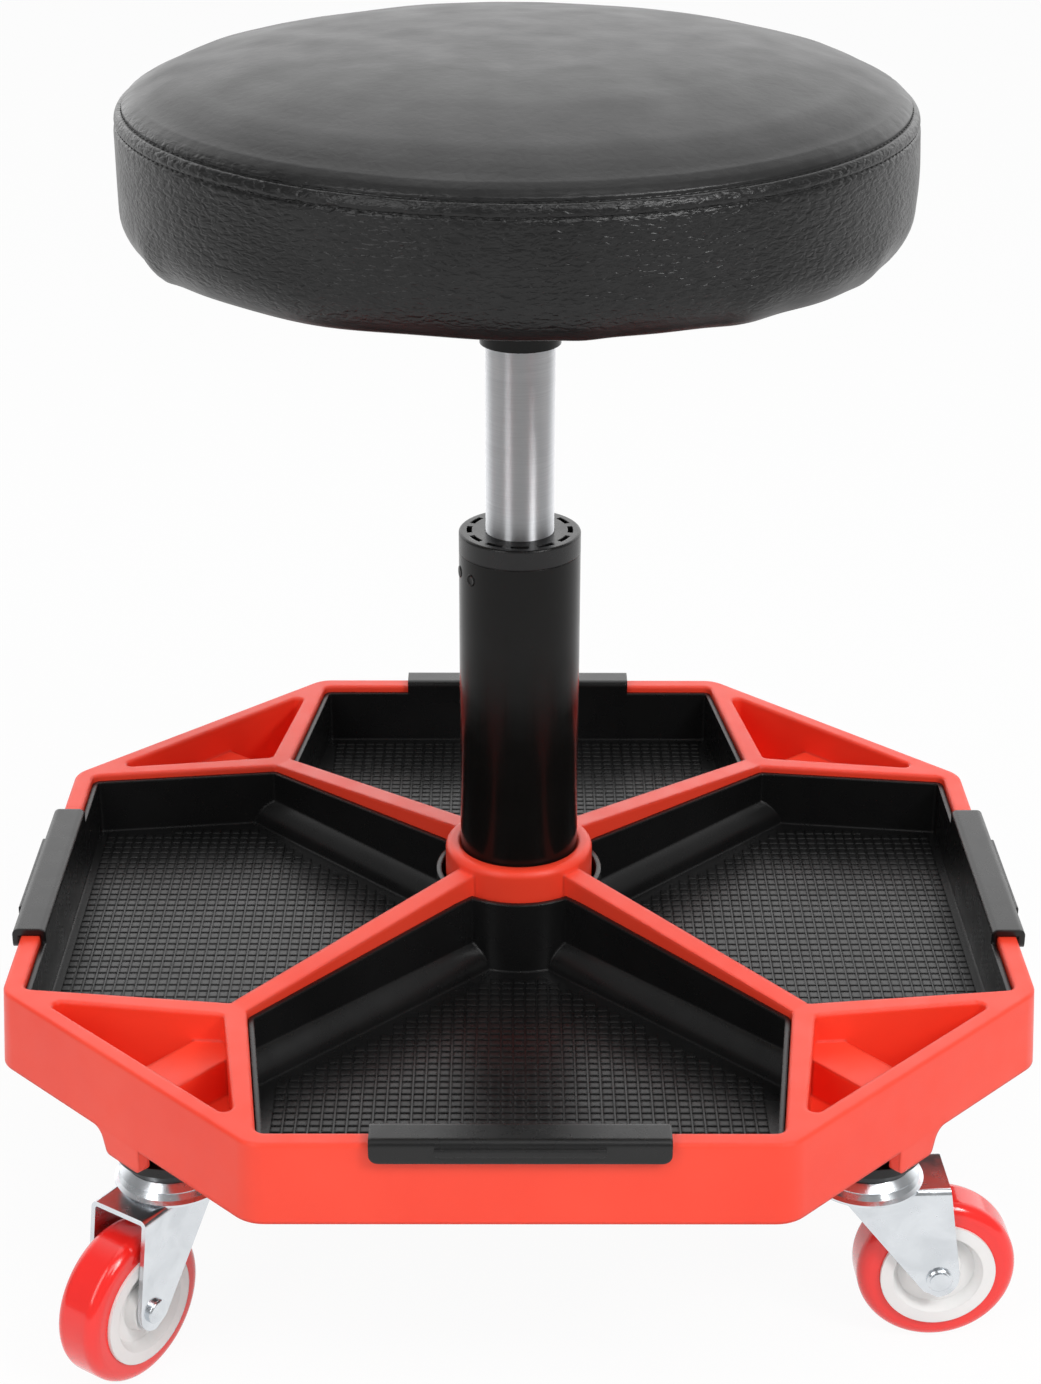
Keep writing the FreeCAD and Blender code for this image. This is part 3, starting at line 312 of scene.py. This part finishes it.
def grained_vinyl(name, first, second):
    """Vinyl with a pebbled side, and a crown that is smoother and duller; the crown's colour is
    painted paler, as painted light from above.
    """
    shade = Shade(name, Specular_IOR_Level=0.37)
    reach = shade.node("ShaderNodeVectorMath", operation="LENGTH")
    shade.link(shade.stretched((1, 1, 0)), reach.inputs[0])
    radius, seam = reach.outputs["Value"], UPPER_SEAM_RADIUS
    side = shade.ranged(radius, seam - 0.002, seam + 0.001, 0.12, 1)
    # The crown's base colour is painted paler here: painted light standing in for the light that
    # falls on the top
    painted_top_light = shade.ranged(radius, seam - 0.014, seam, 0.75, 0)
    dull = shade.ranged(radius, seam - 0.012, seam, 0.13, 0)

    ridges = shade.noise(scale=280, detail=1.5, stretch=(1, 1, 2.4), distortion=0.5)
    pebbles = shade.ranged(ridges, 0.3, 0.62, 0, 1)
    cloud = shade.ranged(shade.noise(scale=26, detail=5), *NARROW, 0, 1)
    tone = shade.maths("MULTIPLY", shade.maths("MULTIPLY", cloud, pebbles), 0.25)
    shade.colours(shade.maths("ADD", tone, painted_top_light), first, second)
    sheen = shade.ranged(shade.noise(scale=55, detail=5), *WIDE, 0.3, 0.37)
    shade.link(shade.maths("ADD", sheen, dull), shade.bsdf.inputs["Roughness"])

    folds = shade.noise(scale=150, detail=3, stretch=(1, 1, 2.2), distortion=0.8)
    wrinkled = shade.bump(shade.maths("MULTIPLY", folds, side), distance=0.0005, strength=0.4)
    grain = shade.maths("MULTIPLY", pebbles, side)
    pebbled = shade.bump(grain, distance=0.00024, under=wrinkled)
    shade.bump(shade.noise(scale=2600, detail=3), distance=0.00003, under=pebbled, strength=0.6)
    return shade.material


def plywood(name, first, second, rough):
    """Raw plywood with a long grain."""
    shade = Shade(name, Specular_IOR_Level=0.3)
    grain = shade.noise(scale=60, detail=6, stretch=(0.08, 1, 1), distortion=1.2)
    shade.clouded(grain, first, second, span=WIDE)
    shade.rough(shade.noise(scale=120, detail=4), *rough)
    shade.bump(grain, distance=0.0002, strength=0.5)
    return shade.material


# Each material's two colours blend in clouds, and so do its two roughnesses
materials = {
    "red_plastic": moulded(
        "red_plastic", (0.92, 0.052, 0.022), (0.96, 0.066, 0.030), (0.32, 0.42),
        edge=0.0022, Specular_IOR_Level=0.45),
    "red_tread": moulded(
        "red_tread", (0.88, 0.018, 0.014), (0.93, 0.026, 0.020), (0.12, 0.2), peel=0.00001,
        Specular_IOR_Level=0.55, Coat_Weight=0.3, Coat_Roughness=0.08),
    "white_hub": moulded("white_hub", (0.80, 0.80, 0.79), (0.86, 0.86, 0.85), (0.3, 0.42)),
    "black_paint": moulded(
        "black_paint", (0.0035, 0.0033, 0.003), (0.0055, 0.0052, 0.0048), (0.17, 0.24),
        peel=0.00001, Specular_IOR_Level=0.18),
    "black_plastic": moulded(
        "black_plastic", (0.006, 0.006, 0.0063), (0.010, 0.010, 0.0105), (0.24, 0.34),
        Specular_IOR_Level=0.36),
    "tray_plastic": moulded(
        "tray_plastic", (0.005, 0.005, 0.0051), (0.009, 0.009, 0.0092), (0.24, 0.32),
        edge=0.0014, Specular_IOR_Level=0.4),
    "black_rubber": moulded(
        "black_rubber", (0.010, 0.010, 0.010), (0.018, 0.018, 0.018), (0.6, 0.75),
        Specular_IOR_Level=0.3),
    "bright_steel": turned_steel(
        "bright_steel", (0.50, 0.50, 0.51), (0.62, 0.62, 0.63), (0.25, 0.38)),
    "brushed_cylinder": turned_steel(
        "brushed_cylinder", (0.68, 0.69, 0.71), (0.76, 0.77, 0.79), (0.46, 0.52),
        depth=0.25, Anisotropic=1, Anisotropic_Rotation=0.25),
    "zinc_plate": plated("zinc_plate", (0.66, 0.69, 0.72), (0.76, 0.79, 0.82), (0.16, 0.3)),
    "plywood": plywood("plywood", (0.42, 0.27, 0.14), (0.62, 0.45, 0.27), (0.6, 0.8)),
    # The vinyl's second, paler colour is painted light on the crown
    "black_vinyl": grained_vinyl("black_vinyl", (0.004, 0.004, 0.0041), (0.026, 0.026, 0.0262)),
}
for part in frame["record"]["subparts"]:
    shown = nodes[part["node"]]
    shown.data.materials.clear()
    shown.data.materials.append(materials[part["material_slot"]])


# Seat pad: a firm shape under the cover, blown against its board and its seam

FIRM = 0.0026
CROWN_FIRM = FIRM * 0.8
BLOWN_STEP = 0.004
BLOWN_SEGMENTS = 200
VOXEL = 0.005
SWELL_CAP = 0.0045
HELD_AT_SEAM = 0.8
FRAMES = 20
CLOTH = {
    "quality": 6, "mass": 0.35, "tension_stiffness": 22, "compression_stiffness": 18,
    "shear_stiffness": 8, "bending_stiffness": 1.2, "vertex_group_mass": "held",
    "use_pressure": True, "uniform_pressure_force": 4,
}


def firm_profile():
    """The outline of the pad a little inside its cover."""
    level = PAD_BOTTOM + 0.001
    line = [(0, level), (0.05, level), (SEAT_RADIUS - FOOT_RADIUS, level)]
    line += foot_arc(FIRM)[1:]
    line += [(r - FIRM, z) for r, z in band_arc(4)[:-1]]
    line += [(r * (1 - FIRM / SEAT_RADIUS), z - CROWN_FIRM) for r, z in crown_radii(14)[:-1]]
    line.append((0, CROWN_EDGE + CROWN_HEIGHT - CROWN_FIRM))
    return [line[0], *[tuple(p) for p in resampled(line, BLOWN_STEP)[1:-1]], line[-1]]


def swollen_pad():
    """The pad's cover blown by a cloth simulation, as a tree to measure from."""
    pad = revolved("pad_under_pressure", firm_profile(), BLOWN_SEGMENTS)
    remesh = pad.modifiers.new("remesh", "REMESH")
    remesh.mode = "VOXEL"
    remesh.voxel_size = VOXEL
    applied(pad)
    mesh = pad.data
    start = np.array([v.co for v in mesh.vertices])
    radius = np.hypot(start[:, 0], start[:, 1])
    held = pad.vertex_groups.new(name="held")
    for index, (r, z) in enumerate(zip(radius, start[:, 2])):
        on_board = 1.0 if z < PAD_BOTTOM + 0.004 and r < SEAT_RADIUS - FOOT_RADIUS else 0.0
        at_seam = HELD_AT_SEAM * bell(z - CROWN_EDGE + 0.001, 0.003) if r > SIDE_FROM else 0.0
        held.add([index], max(on_board, at_seam), "REPLACE")
    cloth = pad.modifiers.new("cloth", "CLOTH")
    for setting, choice in CLOTH.items():
        setattr(cloth.settings, setting, choice)
    cloth.settings.effector_weights.gravity = 0
    cloth.collision_settings.use_collision = False
    for number in range(1, FRAMES + 1):
        bpy.context.scene.frame_set(number)
    shaped = pad.evaluated_get(bpy.context.evaluated_depsgraph_get())
    moved = np.array([v.co for v in shaped.data.vertices]) - start
    bpy.context.scene.frame_set(1)
    far = np.linalg.norm(moved, axis=1)
    moved *= (np.minimum(far, SWELL_CAP) / np.maximum(far, 1e-9))[:, None]
    pad.modifiers.remove(cloth)
    mesh.vertices.foreach_set("co", (start + moved).ravel())
    mesh.update()
    tree = surface_tree(mesh)
    bpy.data.objects.remove(pad)
    return tree


# Seat cover: rows of points round the pad, set out or in by the pressure and by its sewing

SEGMENTS = 384
FINE_STEP = 0.0005
COARSE_STEP = 0.0032
# Rays of this reach measure the swelling, above this height and outside this radius
PROBE = 0.02
SWELL_ABOVE = PAD_BOTTOM + 0.002
SWELL_OUTSIDE = 0.012
SWELL_LIMIT = 0.0015
CROWN_SWELL = 0.5
# Passes that even the swelling out along the profile and round the pad
ALONG_PASSES = 10
ROUND_PASSES = 16
# The gap that the cover's lining keeps to the board
CLEAR = 0.0002

# How far each form of the cover stands out or in, and how wide it is along the profile
BUNCHING = (0.0014, 0.009)
HOLLOWS = (0.0004, 0.014)
SEAM_FOLD = (0.0012, 0.0006)
SEAM_DIP = (0.0004, 0.004)
SEAM_CHANNEL = (0.0008, 0.0007)
BAND_ROLL = (0.0004, 0.003)
SEAM_HOLD = 0.009
CROWN_WAVES = 0.00022
PUCKERS = 0.00008
# Where the forms lie: the bunching's height over the underside and its least radius, the
# hollows' height, the crown forms' start and fade over its edge, the puckers' way from a seam
BUNCHING_HEIGHT = 0.006
BUNCHING_OUTSIDE = 0.128
HOLLOWS_HEIGHT = 0.445
CROWN_START = 0.003
CROWN_FADE = 0.006
PUCKER_AWAY = 0.003
# The height from which the side sags with the seams
SAG_FROM = 0.43

# Bunches round the lower edge: degrees from the front, half width in degrees, size
BUNCHES = (
    (-62, 4, 1.3), (33, 5, 1.3), (60, 4, 0.8), (9, 3, 0.6), (118, 6, 0.7), (165, 5, 0.9),
    (-128, 6, 0.8),
)


def pad_profile():
    """Radius and height of the cover's rows, from the board's edge to the crown, and the
    direction outwards at each. The rows lie close together at the seams."""
    under = [(r, PAD_BOTTOM) for r in np.linspace(RETURN_RADIUS, SEAT_RADIUS - FOOT_RADIUS, 9)]
    side = np.linspace(PAD_BOTTOM + FOOT_RADIUS, LOWER_SEAM - 0.004, 11)[1:]
    below_seam = np.arange(LOWER_SEAM - 0.003, LOWER_SEAM - 0.0003, FINE_STEP)
    upright = [(SEAT_RADIUS, z) for z in (*side, *below_seam)]
    crown = resampled(crown_radii(60), FINE_STEP)
    near = [tuple(p) for p in crown[1:22]]
    rest = [tuple(p) for p in resampled(crown[22:], COARSE_STEP)][:-1]
    rows = np.array(under + foot_arc(0, 11)[1:] + upright + band_arc(15) + near + rest)
    along = np.gradient(rows, axis=0)
    normal = np.stack([along[:, 1], -along[:, 0]], 1)
    normal /= np.linalg.norm(normal, axis=1)[:, None]
    return rows, normal


def seam_rows(rows):
    """The rows of the cover that the upper and the lower seam follow."""
    upper = np.argmin(np.abs(rows[:, 0] - UPPER_SEAM_RADIUS) + (rows[:, 1] < CROWN_EDGE))
    lower = np.argmin(np.abs(rows[:, 1] - LOWER_SEAM) + (rows[:, 0] < UPPER_SEAM_RADIUS))
    return int(upper), int(lower)


def wave(angles, count, phase):
    """So many even waves round the pad."""
    return np.sin(count * angles + phase)


def bunched(angles):
    """How far the cover bunches out round the pad's lower edge, as a share of its largest."""
    out = 0.25 * wave(angles, 9, 0.4) + 0.2 * wave(angles, 14, 2.1)
    for centre, width, size in BUNCHES:
        away = np.degrees(np.angle(np.exp(1j * (angles - math.radians(centre)))))
        out = out + size * bell(away, width)
    return out


def swelling(rows, normal, turn):
    out = np.zeros((len(rows), len(turn)))
    tree = swollen_pad()
    for i, ((r, z), (nr, nz)) in enumerate(zip(rows, normal)):
        if z < SWELL_ABOVE or r < SWELL_OUTSIDE:
            continue
        for j, a in enumerate(turn):
            outward = Vector((nr * math.sin(a), -nr * math.cos(a), nz))
            point = Vector((r * math.sin(a), -r * math.cos(a), z))
            hit = tree.ray_cast(point + outward * PROBE, -outward, 2 * PROBE)
            if hit[0] is not None:
                out[i, j] = PROBE - hit[3]
    for _ in range(ALONG_PASSES):
        out[1:-1] = (out[:-2] + 2 * out[1:-1] + out[2:]) / 4
    out = smoothed_round(out, ROUND_PASSES)
    middle = np.median(out[rows[:, 1] > SWELL_ABOVE])
    return np.clip(out - middle, -SWELL_LIMIT, SWELL_LIMIT)


def cover_relief(out, rows, angles):
    """The swelling, with the forms added that the board, the foam and the seams give it."""
    radii, heights = rows[:, :1], rows[:, 1:]
    run = line_run(rows)[:, None]
    upper_row, lower_row = seam_rows(rows)
    upper, lower = run[upper_row, 0], run[lower_row, 0]
    out = out * (1 - bell(run - upper, SEAM_HOLD))

    # The cover bunches over the board's edge
    size, width = BUNCHING
    foot = bell(heights - PAD_BOTTOM - BUNCHING_HEIGHT, width) * (radii > BUNCHING_OUTSIDE)
    out += size * foot * (bunched(angles) - 0.15)

    # Slow hollows in the side and broad waves over the crown
    size, width = HOLLOWS
    hollows = wave(angles, 5, 1) + wave(angles, 8, 2.5)
    out += size * bell(heights - HOLLOWS_HEIGHT, width) * hollows * (radii > SIDE_FROM)
    crown = np.clip((heights - CROWN_EDGE - CROWN_START) / CROWN_FADE, 0, 1)
    out -= crown * (crown * out).mean() / crown.mean()
    out *= 1 - CROWN_SWELL * crown
    x, y = radii * np.sin(angles), -radii * np.cos(angles)
    bent = np.sin(95 * x + 30 * y + 1.3 * np.sin(60 * y))
    out += CROWN_WAVES * crown * bent * np.sin(70 * y + 25 * x)

    # A tight fold at the upper seam, a stitched channel at the lower, a rolled band between
    for (size, width), place in ((SEAM_FOLD, upper), (SEAM_CHANNEL, lower), (SEAM_DIP, upper)):
        out -= size * bell(run - place, width)
    size, width = BAND_ROLL
    out += size * bell(run - (upper + lower) / 2, width)

    # Puckers that the stitching draws into the cover
    pucker = wave(angles, 131, 0) * (0.6 + 0.4 * wave(angles, 5, 0.7)) + 0.6 * wave(angles, 83, 1.1)
    near = bell(run - upper - PUCKER_AWAY, 0.0035) + bell(run - lower + PUCKER_AWAY, 0.003)
    return out + PUCKERS * near * pucker


def front_sag(rows, angles):
    """How far the seams and the crown's edge hang lower towards the front."""
    radii, heights = rows[:, :1], rows[:, 1:]
    below = np.clip((heights - SAG_FROM) / (LOWER_SEAM - SAG_FROM), 0, 1) ** 2
    above = np.clip(radii / UPPER_SEAM_RADIUS, 0, 1) ** 5
    share = np.where(heights < CROWN_EDGE, below, above)
    return FRONT_DROP * share * ((1 + np.cos(angles)) / 2) ** 3


def seat_cover():
    """The cover's closed mesh, with the points of its rows and their plain profile."""
    rows, normal = pad_profile()
    turn = full_turn(SEGMENTS)
    angles = turn[None, :]
    out = cover_relief(swelling(rows, normal, turn), rows, angles)
    reach = rows[:, :1] + out * normal[:, :1]
    points = np.stack([
        reach * np.sin(angles) + SEAT_PLAY,
        -reach * np.cos(angles),
        rows[:, 1:] + out * normal[:, 1:] - front_sag(rows, angles),
    ], 2)
    edge, above, below = BOARD_RADIUS + CLEAR, BOARD_TOP + CLEAR, BOARD_BOTTOM - CLEAR / 2
    lining = [[(r * math.sin(a), -r * math.cos(a), z) for a in turn]
              for r, z in ((edge, above), (edge, below), (RETURN_RADIUS, below))]
    body = np.concatenate([np.array(lining), points])
    faces = ring_faces(len(body), SEGMENTS)
    flat = [tuple(p) for p in body.reshape(-1, 3)]
    last = len(flat) - SEGMENTS
    flat += [(0, 0, above), (SEAT_PLAY, 0, points[-1, :, 2].mean() + 0.00002)]
    for j in range(SEGMENTS):
        k = (j + 1) % SEGMENTS
        faces.append((len(flat) - 2, k, j))
        faces.append((last + j, last + k, len(flat) - 1))
    return mesh_object("seat_cover", flat, faces), points, rows


# Stitches: thread laid round the pad in each seam's channel

STITCH_LENGTH = 0.0026
STITCH_PITCH = 0.0036
THREAD_RADIUS = 0.00038
THREAD_SIDES = 6
THREAD_RINGS = 5
# How far a stitch's ends sink, as a share of its radius, and how blunt they stay
END_DIP = 0.7
END_BLUNT = 0.06


def stitch_row(name, line, lift):
    """Short stitches with tapered ends along a closed line of the cover's points."""
    count = int(round(2 * math.pi * SEAT_RADIUS / STITCH_PITCH))
    points, faces = [], []
    for middle in full_turn(count):
        base = len(points)
        for along in np.linspace(-1, 1, THREAD_RINGS):
            a = middle + along * STITCH_LENGTH / 2 / SEAT_RADIUS
            at = a / (2 * math.pi) * SEGMENTS
            low = int(math.floor(at))
            near, far = line[low % SEGMENTS], line[(low + 1) % SEGMENTS]
            out = np.array((math.sin(a), -math.cos(a), 0))
            centre = near + (far - near) * (at - low)
            centre = centre + out * (lift - THREAD_RADIUS * END_DIP * along ** 2)
            thick = THREAD_RADIUS * math.sqrt(max(END_BLUNT, 1 - along ** 2))
            for turn in full_turn(THREAD_SIDES):
                up = np.array((0, 0, thick * math.sin(turn)))
                points.append(centre + out * thick * math.cos(turn) + up)
        for ring in range(THREAD_RINGS - 1):
            a, b = base + ring * THREAD_SIDES, base + (ring + 1) * THREAD_SIDES
            for side in range(THREAD_SIDES):
                after = (side + 1) % THREAD_SIDES
                faces.append((a + side, b + side, b + after, a + after))
        faces.append(tuple(range(base, base + THREAD_SIDES)))
        faces.append(tuple(range(len(points) - 1, len(points) - 1 - THREAD_SIDES, -1)))
    return mesh_object(name, points, faces)


cover, cover_points, cover_rows = seat_cover()
cover.data.materials.append(materials["black_vinyl"])
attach(cover, "seat")
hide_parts("seat_cushion")

thread = moulded("black_thread", (0.006, 0.006, 0.006), (0.014, 0.014, 0.014), (0.5, 0.65),
                 Specular_IOR_Level=0.3)
seams = zip(("stitches_upper", "stitches_lower"), seam_rows(cover_rows), (0.0003, 0.0001))
for name, row, lift in seams:
    stitches = stitch_row(name, cover_points[row], lift)
    stitches.data.materials.append(thread)
    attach(stitches, "seat")


# Tray floors: rows of small raised tiles inside a plain border

TILE_PITCH = (0.00494, 0.00445)
TILE_HALF = (0.0021, 0.00187)
TILE_RISE = 0.0005
TILE_EDGE = 0.00016
TILE_SUNK = 0.0001
TILE_BORDER = 0.0022
FLOOR_TOP = 0.1056
FLOOR_PLAY = 0.0004
RIM_LEVEL = 0.1335
DOWN = Vector((0, 0, -1))
PROBE_DOWN = 0.1


def tiles_for(side):
    """Tiles wherever the tray's floor is flat under them and their border."""
    tree = surface_tree(nodes[f"tray_{side}"].data)
    low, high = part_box(f"tray_{side}")
    turned = side in ("left", "right")
    pitch_x, pitch_y = TILE_PITCH[::-1] if turned else TILE_PITCH
    half_x, half_y = TILE_HALF[::-1] if turned else TILE_HALF
    reach_x, reach_y = half_x + TILE_BORDER, half_y + TILE_BORDER
    offsets = [(a * reach_x, b * reach_y) for a in (-1, 0, 1) for b in (-1, 0, 1)]
    levels = ((0, FLOOR_TOP - TILE_SUNK), (0, FLOOR_TOP + TILE_RISE - TILE_EDGE),
              (TILE_EDGE, FLOOR_TOP + TILE_RISE))

    def on_floor(x, y):
        for dx, dy in offsets:
            hit = tree.ray_cast(Vector((x + dx, y + dy, RIM_LEVEL)), DOWN, PROBE_DOWN)
            if hit[0] is None or abs(hit[0].z - FLOOR_TOP) > FLOOR_PLAY:
                return False
        return True

    points, faces = [], []
    columns = int((high.x - low.x) / pitch_x / 2) + 1
    rows = int((high.y - low.y) / pitch_y / 2) + 1
    for i in range(-columns, columns + 1):
        for j in range(-rows, rows + 1):
            x, y = (low.x + high.x) / 2 + i * pitch_x, (low.y + high.y) / 2 + j * pitch_y
            if not on_floor(x, y):
                continue
            base = len(points)
            for inset, z in levels:
                wide, deep = half_x - inset, half_y - inset
                points += [(x - wide, y - deep, z), (x + wide, y - deep, z),
                           (x + wide, y + deep, z), (x - wide, y + deep, z)]
            quads = ring_faces(len(levels), 4)
            faces += [tuple(base + corner for corner in quad) for quad in quads]
            faces.append((base + 8, base + 9, base + 10, base + 11))
            faces.append((base + 3, base + 2, base + 1, base))
    return mesh_object(f"tray_tiles_{side}", points, faces, smooth=False)


for side in SIDES:
    tiles = tiles_for(side)
    tiles.data.materials.append(materials["tray_plastic"])
    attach(tiles, f"tray_{side}")


# Column tube: two dimples pressed through it to hold the bush

TUBE_RADIUS = 0.025
DIMPLE_LEVEL = 0.277
DIMPLE_RADIUS = 0.0021
DIMPLE_POINTS = 24
# Shares of the dimple's radius, and how far the tube's wall stands out there
DIMPLE_SECTION = (
    (1.25, -0.0001), (1.15, 0.00025), (1.0, 0.0004), (0.85, 0.0002), (0.6, 0.00005), (0.3, 0.0),
)


def press_dimple(name, turn):
    """A shallow ring with a sunk middle, bent round the tube."""
    points = []
    for share, rise in DIMPLE_SECTION:
        for a in full_turn(DIMPLE_POINTS):
            spun = turn + DIMPLE_RADIUS * share * math.cos(a) / TUBE_RADIUS
            far = TUBE_RADIUS + rise
            level = DIMPLE_LEVEL + DIMPLE_RADIUS * share * math.sin(a)
            points.append((far * math.sin(spun), -far * math.cos(spun), level))
    faces = ring_faces(len(DIMPLE_SECTION), DIMPLE_POINTS)
    faces.append(tuple(range(len(points) - DIMPLE_POINTS, len(points))))
    return mesh_object(name, points, faces)


for name, turn in (("press_dimple_near", -53), ("press_dimple_far", -78)):
    dimple = press_dimple(name, math.radians(turn))
    dimple.data.materials.append(materials["black_paint"])
    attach(dimple, "base")


# Floor, light and camera

FLOOR_RADIUS = 30
FLOOR_POINTS = 96
FLOOR_COLOUR = (0.86, 0.86, 0.86, 1)
FLOOR_WHITE = 0.95
AMBIENT = 0.45
# Strength of the mirrored room, from in front of the object to behind it
ROOM = (("From Min", 0.1), ("From Max", 0.85), ("To Min", 0.3), ("To Max", 1.9))
LAMP_AIM = (0, 0, 0.25)
# Azimuth to the right of the front, elevation, distance, width, height and power of each lamp
SOFTBOXES = (
    ("softbox_left", -41, 36, 2.0, 0.6, 1.7, 11),
    ("softbox_right", 41, 40, 2.0, 0.38, 1.0, 9),
    ("softbox_side", 50, 38, 2.0, 0.3, 0.45, 8),
    ("softbox_key", 18, 55, 2.0, 0.8, 0.7, 5),
    ("softbox_top", 180, 72, 1.9, 1.5, 1.5, 8),
)
LENS_PIXELS = 2621.0
IMAGE_HEIGHT = 1384
SENSOR = 36
NEAREST, FARTHEST = 0.01, 100
CAMERA_PLACE = (-0.00443, -1.0032, 0.6736)
PITCH, YAW, ROLL = (math.radians(a) for a in (24.305, 0.281, -0.198))

scene = bpy.context.scene
scene.view_settings.view_transform = "Standard"


def cleared_tree(owner):
    owner.use_nodes = True
    owner.node_tree.nodes.clear()
    return owner.node_tree


def maths_node(tree, operation, first, second):
    made = tree.nodes.new("ShaderNodeMath")
    made.operation = operation
    tree.links.new(first, made.inputs[0])
    if isinstance(second, float):
        made.inputs[1].default_value = second
    else:
        tree.links.new(second, made.inputs[1])
    return made.outputs["Value"]


def mixed(tree, share, first, second):
    """A blend of two shaders: the first where the share is 0, the second where it is 1."""
    made = tree.nodes.new("ShaderNodeMixShader")
    tree.links.new(share, made.inputs["Fac"])
    tree.links.new(first, made.inputs[1])
    tree.links.new(second, made.inputs[2])
    return made.outputs["Shader"]


def background(tree, strength=1.0):
    made = tree.nodes.new("ShaderNodeBackground")
    made.inputs["Color"].default_value = (1, 1, 1, 1)
    made.inputs["Strength"].default_value = strength
    return made


def pale_floor():
    """A wide disc that looks white, also in reflections, and still takes the shadow."""
    bm = bmesh.new()
    bmesh.ops.create_circle(bm, cap_ends=True, radius=FLOOR_RADIUS, segments=FLOOR_POINTS)
    mesh = bpy.data.meshes.new("floor")
    bm.to_mesh(mesh)
    bm.free()
    floor = bpy.data.objects.new("floor", mesh)
    scene.collection.objects.link(floor)
    material = bpy.data.materials.new("pale_floor")
    tree = cleared_tree(material)
    rays = tree.nodes.new("ShaderNodeLightPath").outputs
    seen = maths_node(tree, "MAXIMUM", rays["Is Camera Ray"], rays["Is Glossy Ray"])
    seen = maths_node(tree, "MAXIMUM", seen, rays["Is Transmission Ray"])
    share = maths_node(tree, "MULTIPLY", seen, FLOOR_WHITE)
    plain = tree.nodes.new("ShaderNodeBsdfDiffuse")
    plain.inputs["Color"].default_value = FLOOR_COLOUR
    white = tree.nodes.new("ShaderNodeEmission")
    surface = mixed(tree, share, plain.outputs["BSDF"], white.outputs["Emission"])
    out = tree.nodes.new("ShaderNodeOutputMaterial")
    tree.links.new(surface, out.inputs["Surface"])
    floor.data.materials.append(material)


def studio_world():
    """Even soft light and a white background; mirrors see a room that is darker in front."""
    scene.world = bpy.data.worlds.new("studio")
    tree = cleared_tree(scene.world)
    rays = tree.nodes.new("ShaderNodeLightPath").outputs
    place = tree.nodes.new("ShaderNodeTexCoord")
    split = tree.nodes.new("ShaderNodeSeparateXYZ")
    tree.links.new(place.outputs["Generated"], split.inputs["Vector"])
    room = tree.nodes.new("ShaderNodeMapRange")
    room.interpolation_type = "SMOOTHSTEP"
    for socket, number in ROOM:
        room.inputs[socket].default_value = number
    tree.links.new(split.outputs["Y"], room.inputs["Value"])
    mirrored = background(tree)
    tree.links.new(room.outputs["Result"], mirrored.inputs["Strength"])
    in_mirror = maths_node(tree, "MAXIMUM", rays["Is Glossy Ray"], rays["Is Transmission Ray"])
    soft, seen = background(tree, AMBIENT), background(tree)
    shader = mixed(tree, in_mirror, soft.outputs["Background"], mirrored.outputs["Background"])
    shader = mixed(tree, rays["Is Camera Ray"], shader, seen.outputs["Background"])
    out = tree.nodes.new("ShaderNodeOutputWorld")
    tree.links.new(shader, out.inputs["Surface"])


def softbox(name, azimuth, elevation, distance, width, height, power):
    """A rectangular lamp that faces the object."""
    lamp = bpy.data.lights.new(name, "AREA")
    lamp.shape = "RECTANGLE"
    lamp.size = width
    lamp.size_y = height
    lamp.energy = power
    made = bpy.data.objects.new(name, lamp)
    a, e = math.radians(azimuth), math.radians(elevation)
    level = math.cos(e)
    reach = Vector((math.sin(a) * level, -math.cos(a) * level, math.sin(e))) * distance
    made.location = Vector(LAMP_AIM) + reach
    made.rotation_euler = (-reach).to_track_quat("-Z", "Y").to_euler()
    scene.collection.objects.link(made)


def photo_camera():
    """The camera at the photograph's place, with its lens and turn."""
    data = bpy.data.cameras.new("photo_camera")
    data.sensor_fit = "VERTICAL"
    data.sensor_height = SENSOR
    data.sensor_width = SENSOR
    data.lens = LENS_PIXELS / IMAGE_HEIGHT * SENSOR
    data.clip_start = NEAREST
    data.clip_end = FARTHEST
    made = bpy.data.objects.new("photo_camera", data)
    level = math.cos(PITCH)
    ahead = Vector((math.sin(YAW) * level, math.cos(YAW) * level, -math.sin(PITCH)))
    right = Vector((math.cos(YAW), -math.sin(YAW), 0))
    down = ahead.cross(right)
    across = math.cos(ROLL) * right + math.sin(ROLL) * down
    below = -math.sin(ROLL) * right + math.cos(ROLL) * down
    turned = Matrix((across, -below, -ahead)).transposed()
    made.matrix_world = Matrix.Translation(CAMERA_PLACE) @ turned.to_4x4()
    scene.collection.objects.link(made)
    scene.camera = made


pale_floor()
studio_world()
for box in SOFTBOXES:
    softbox(*box)
photo_camera()
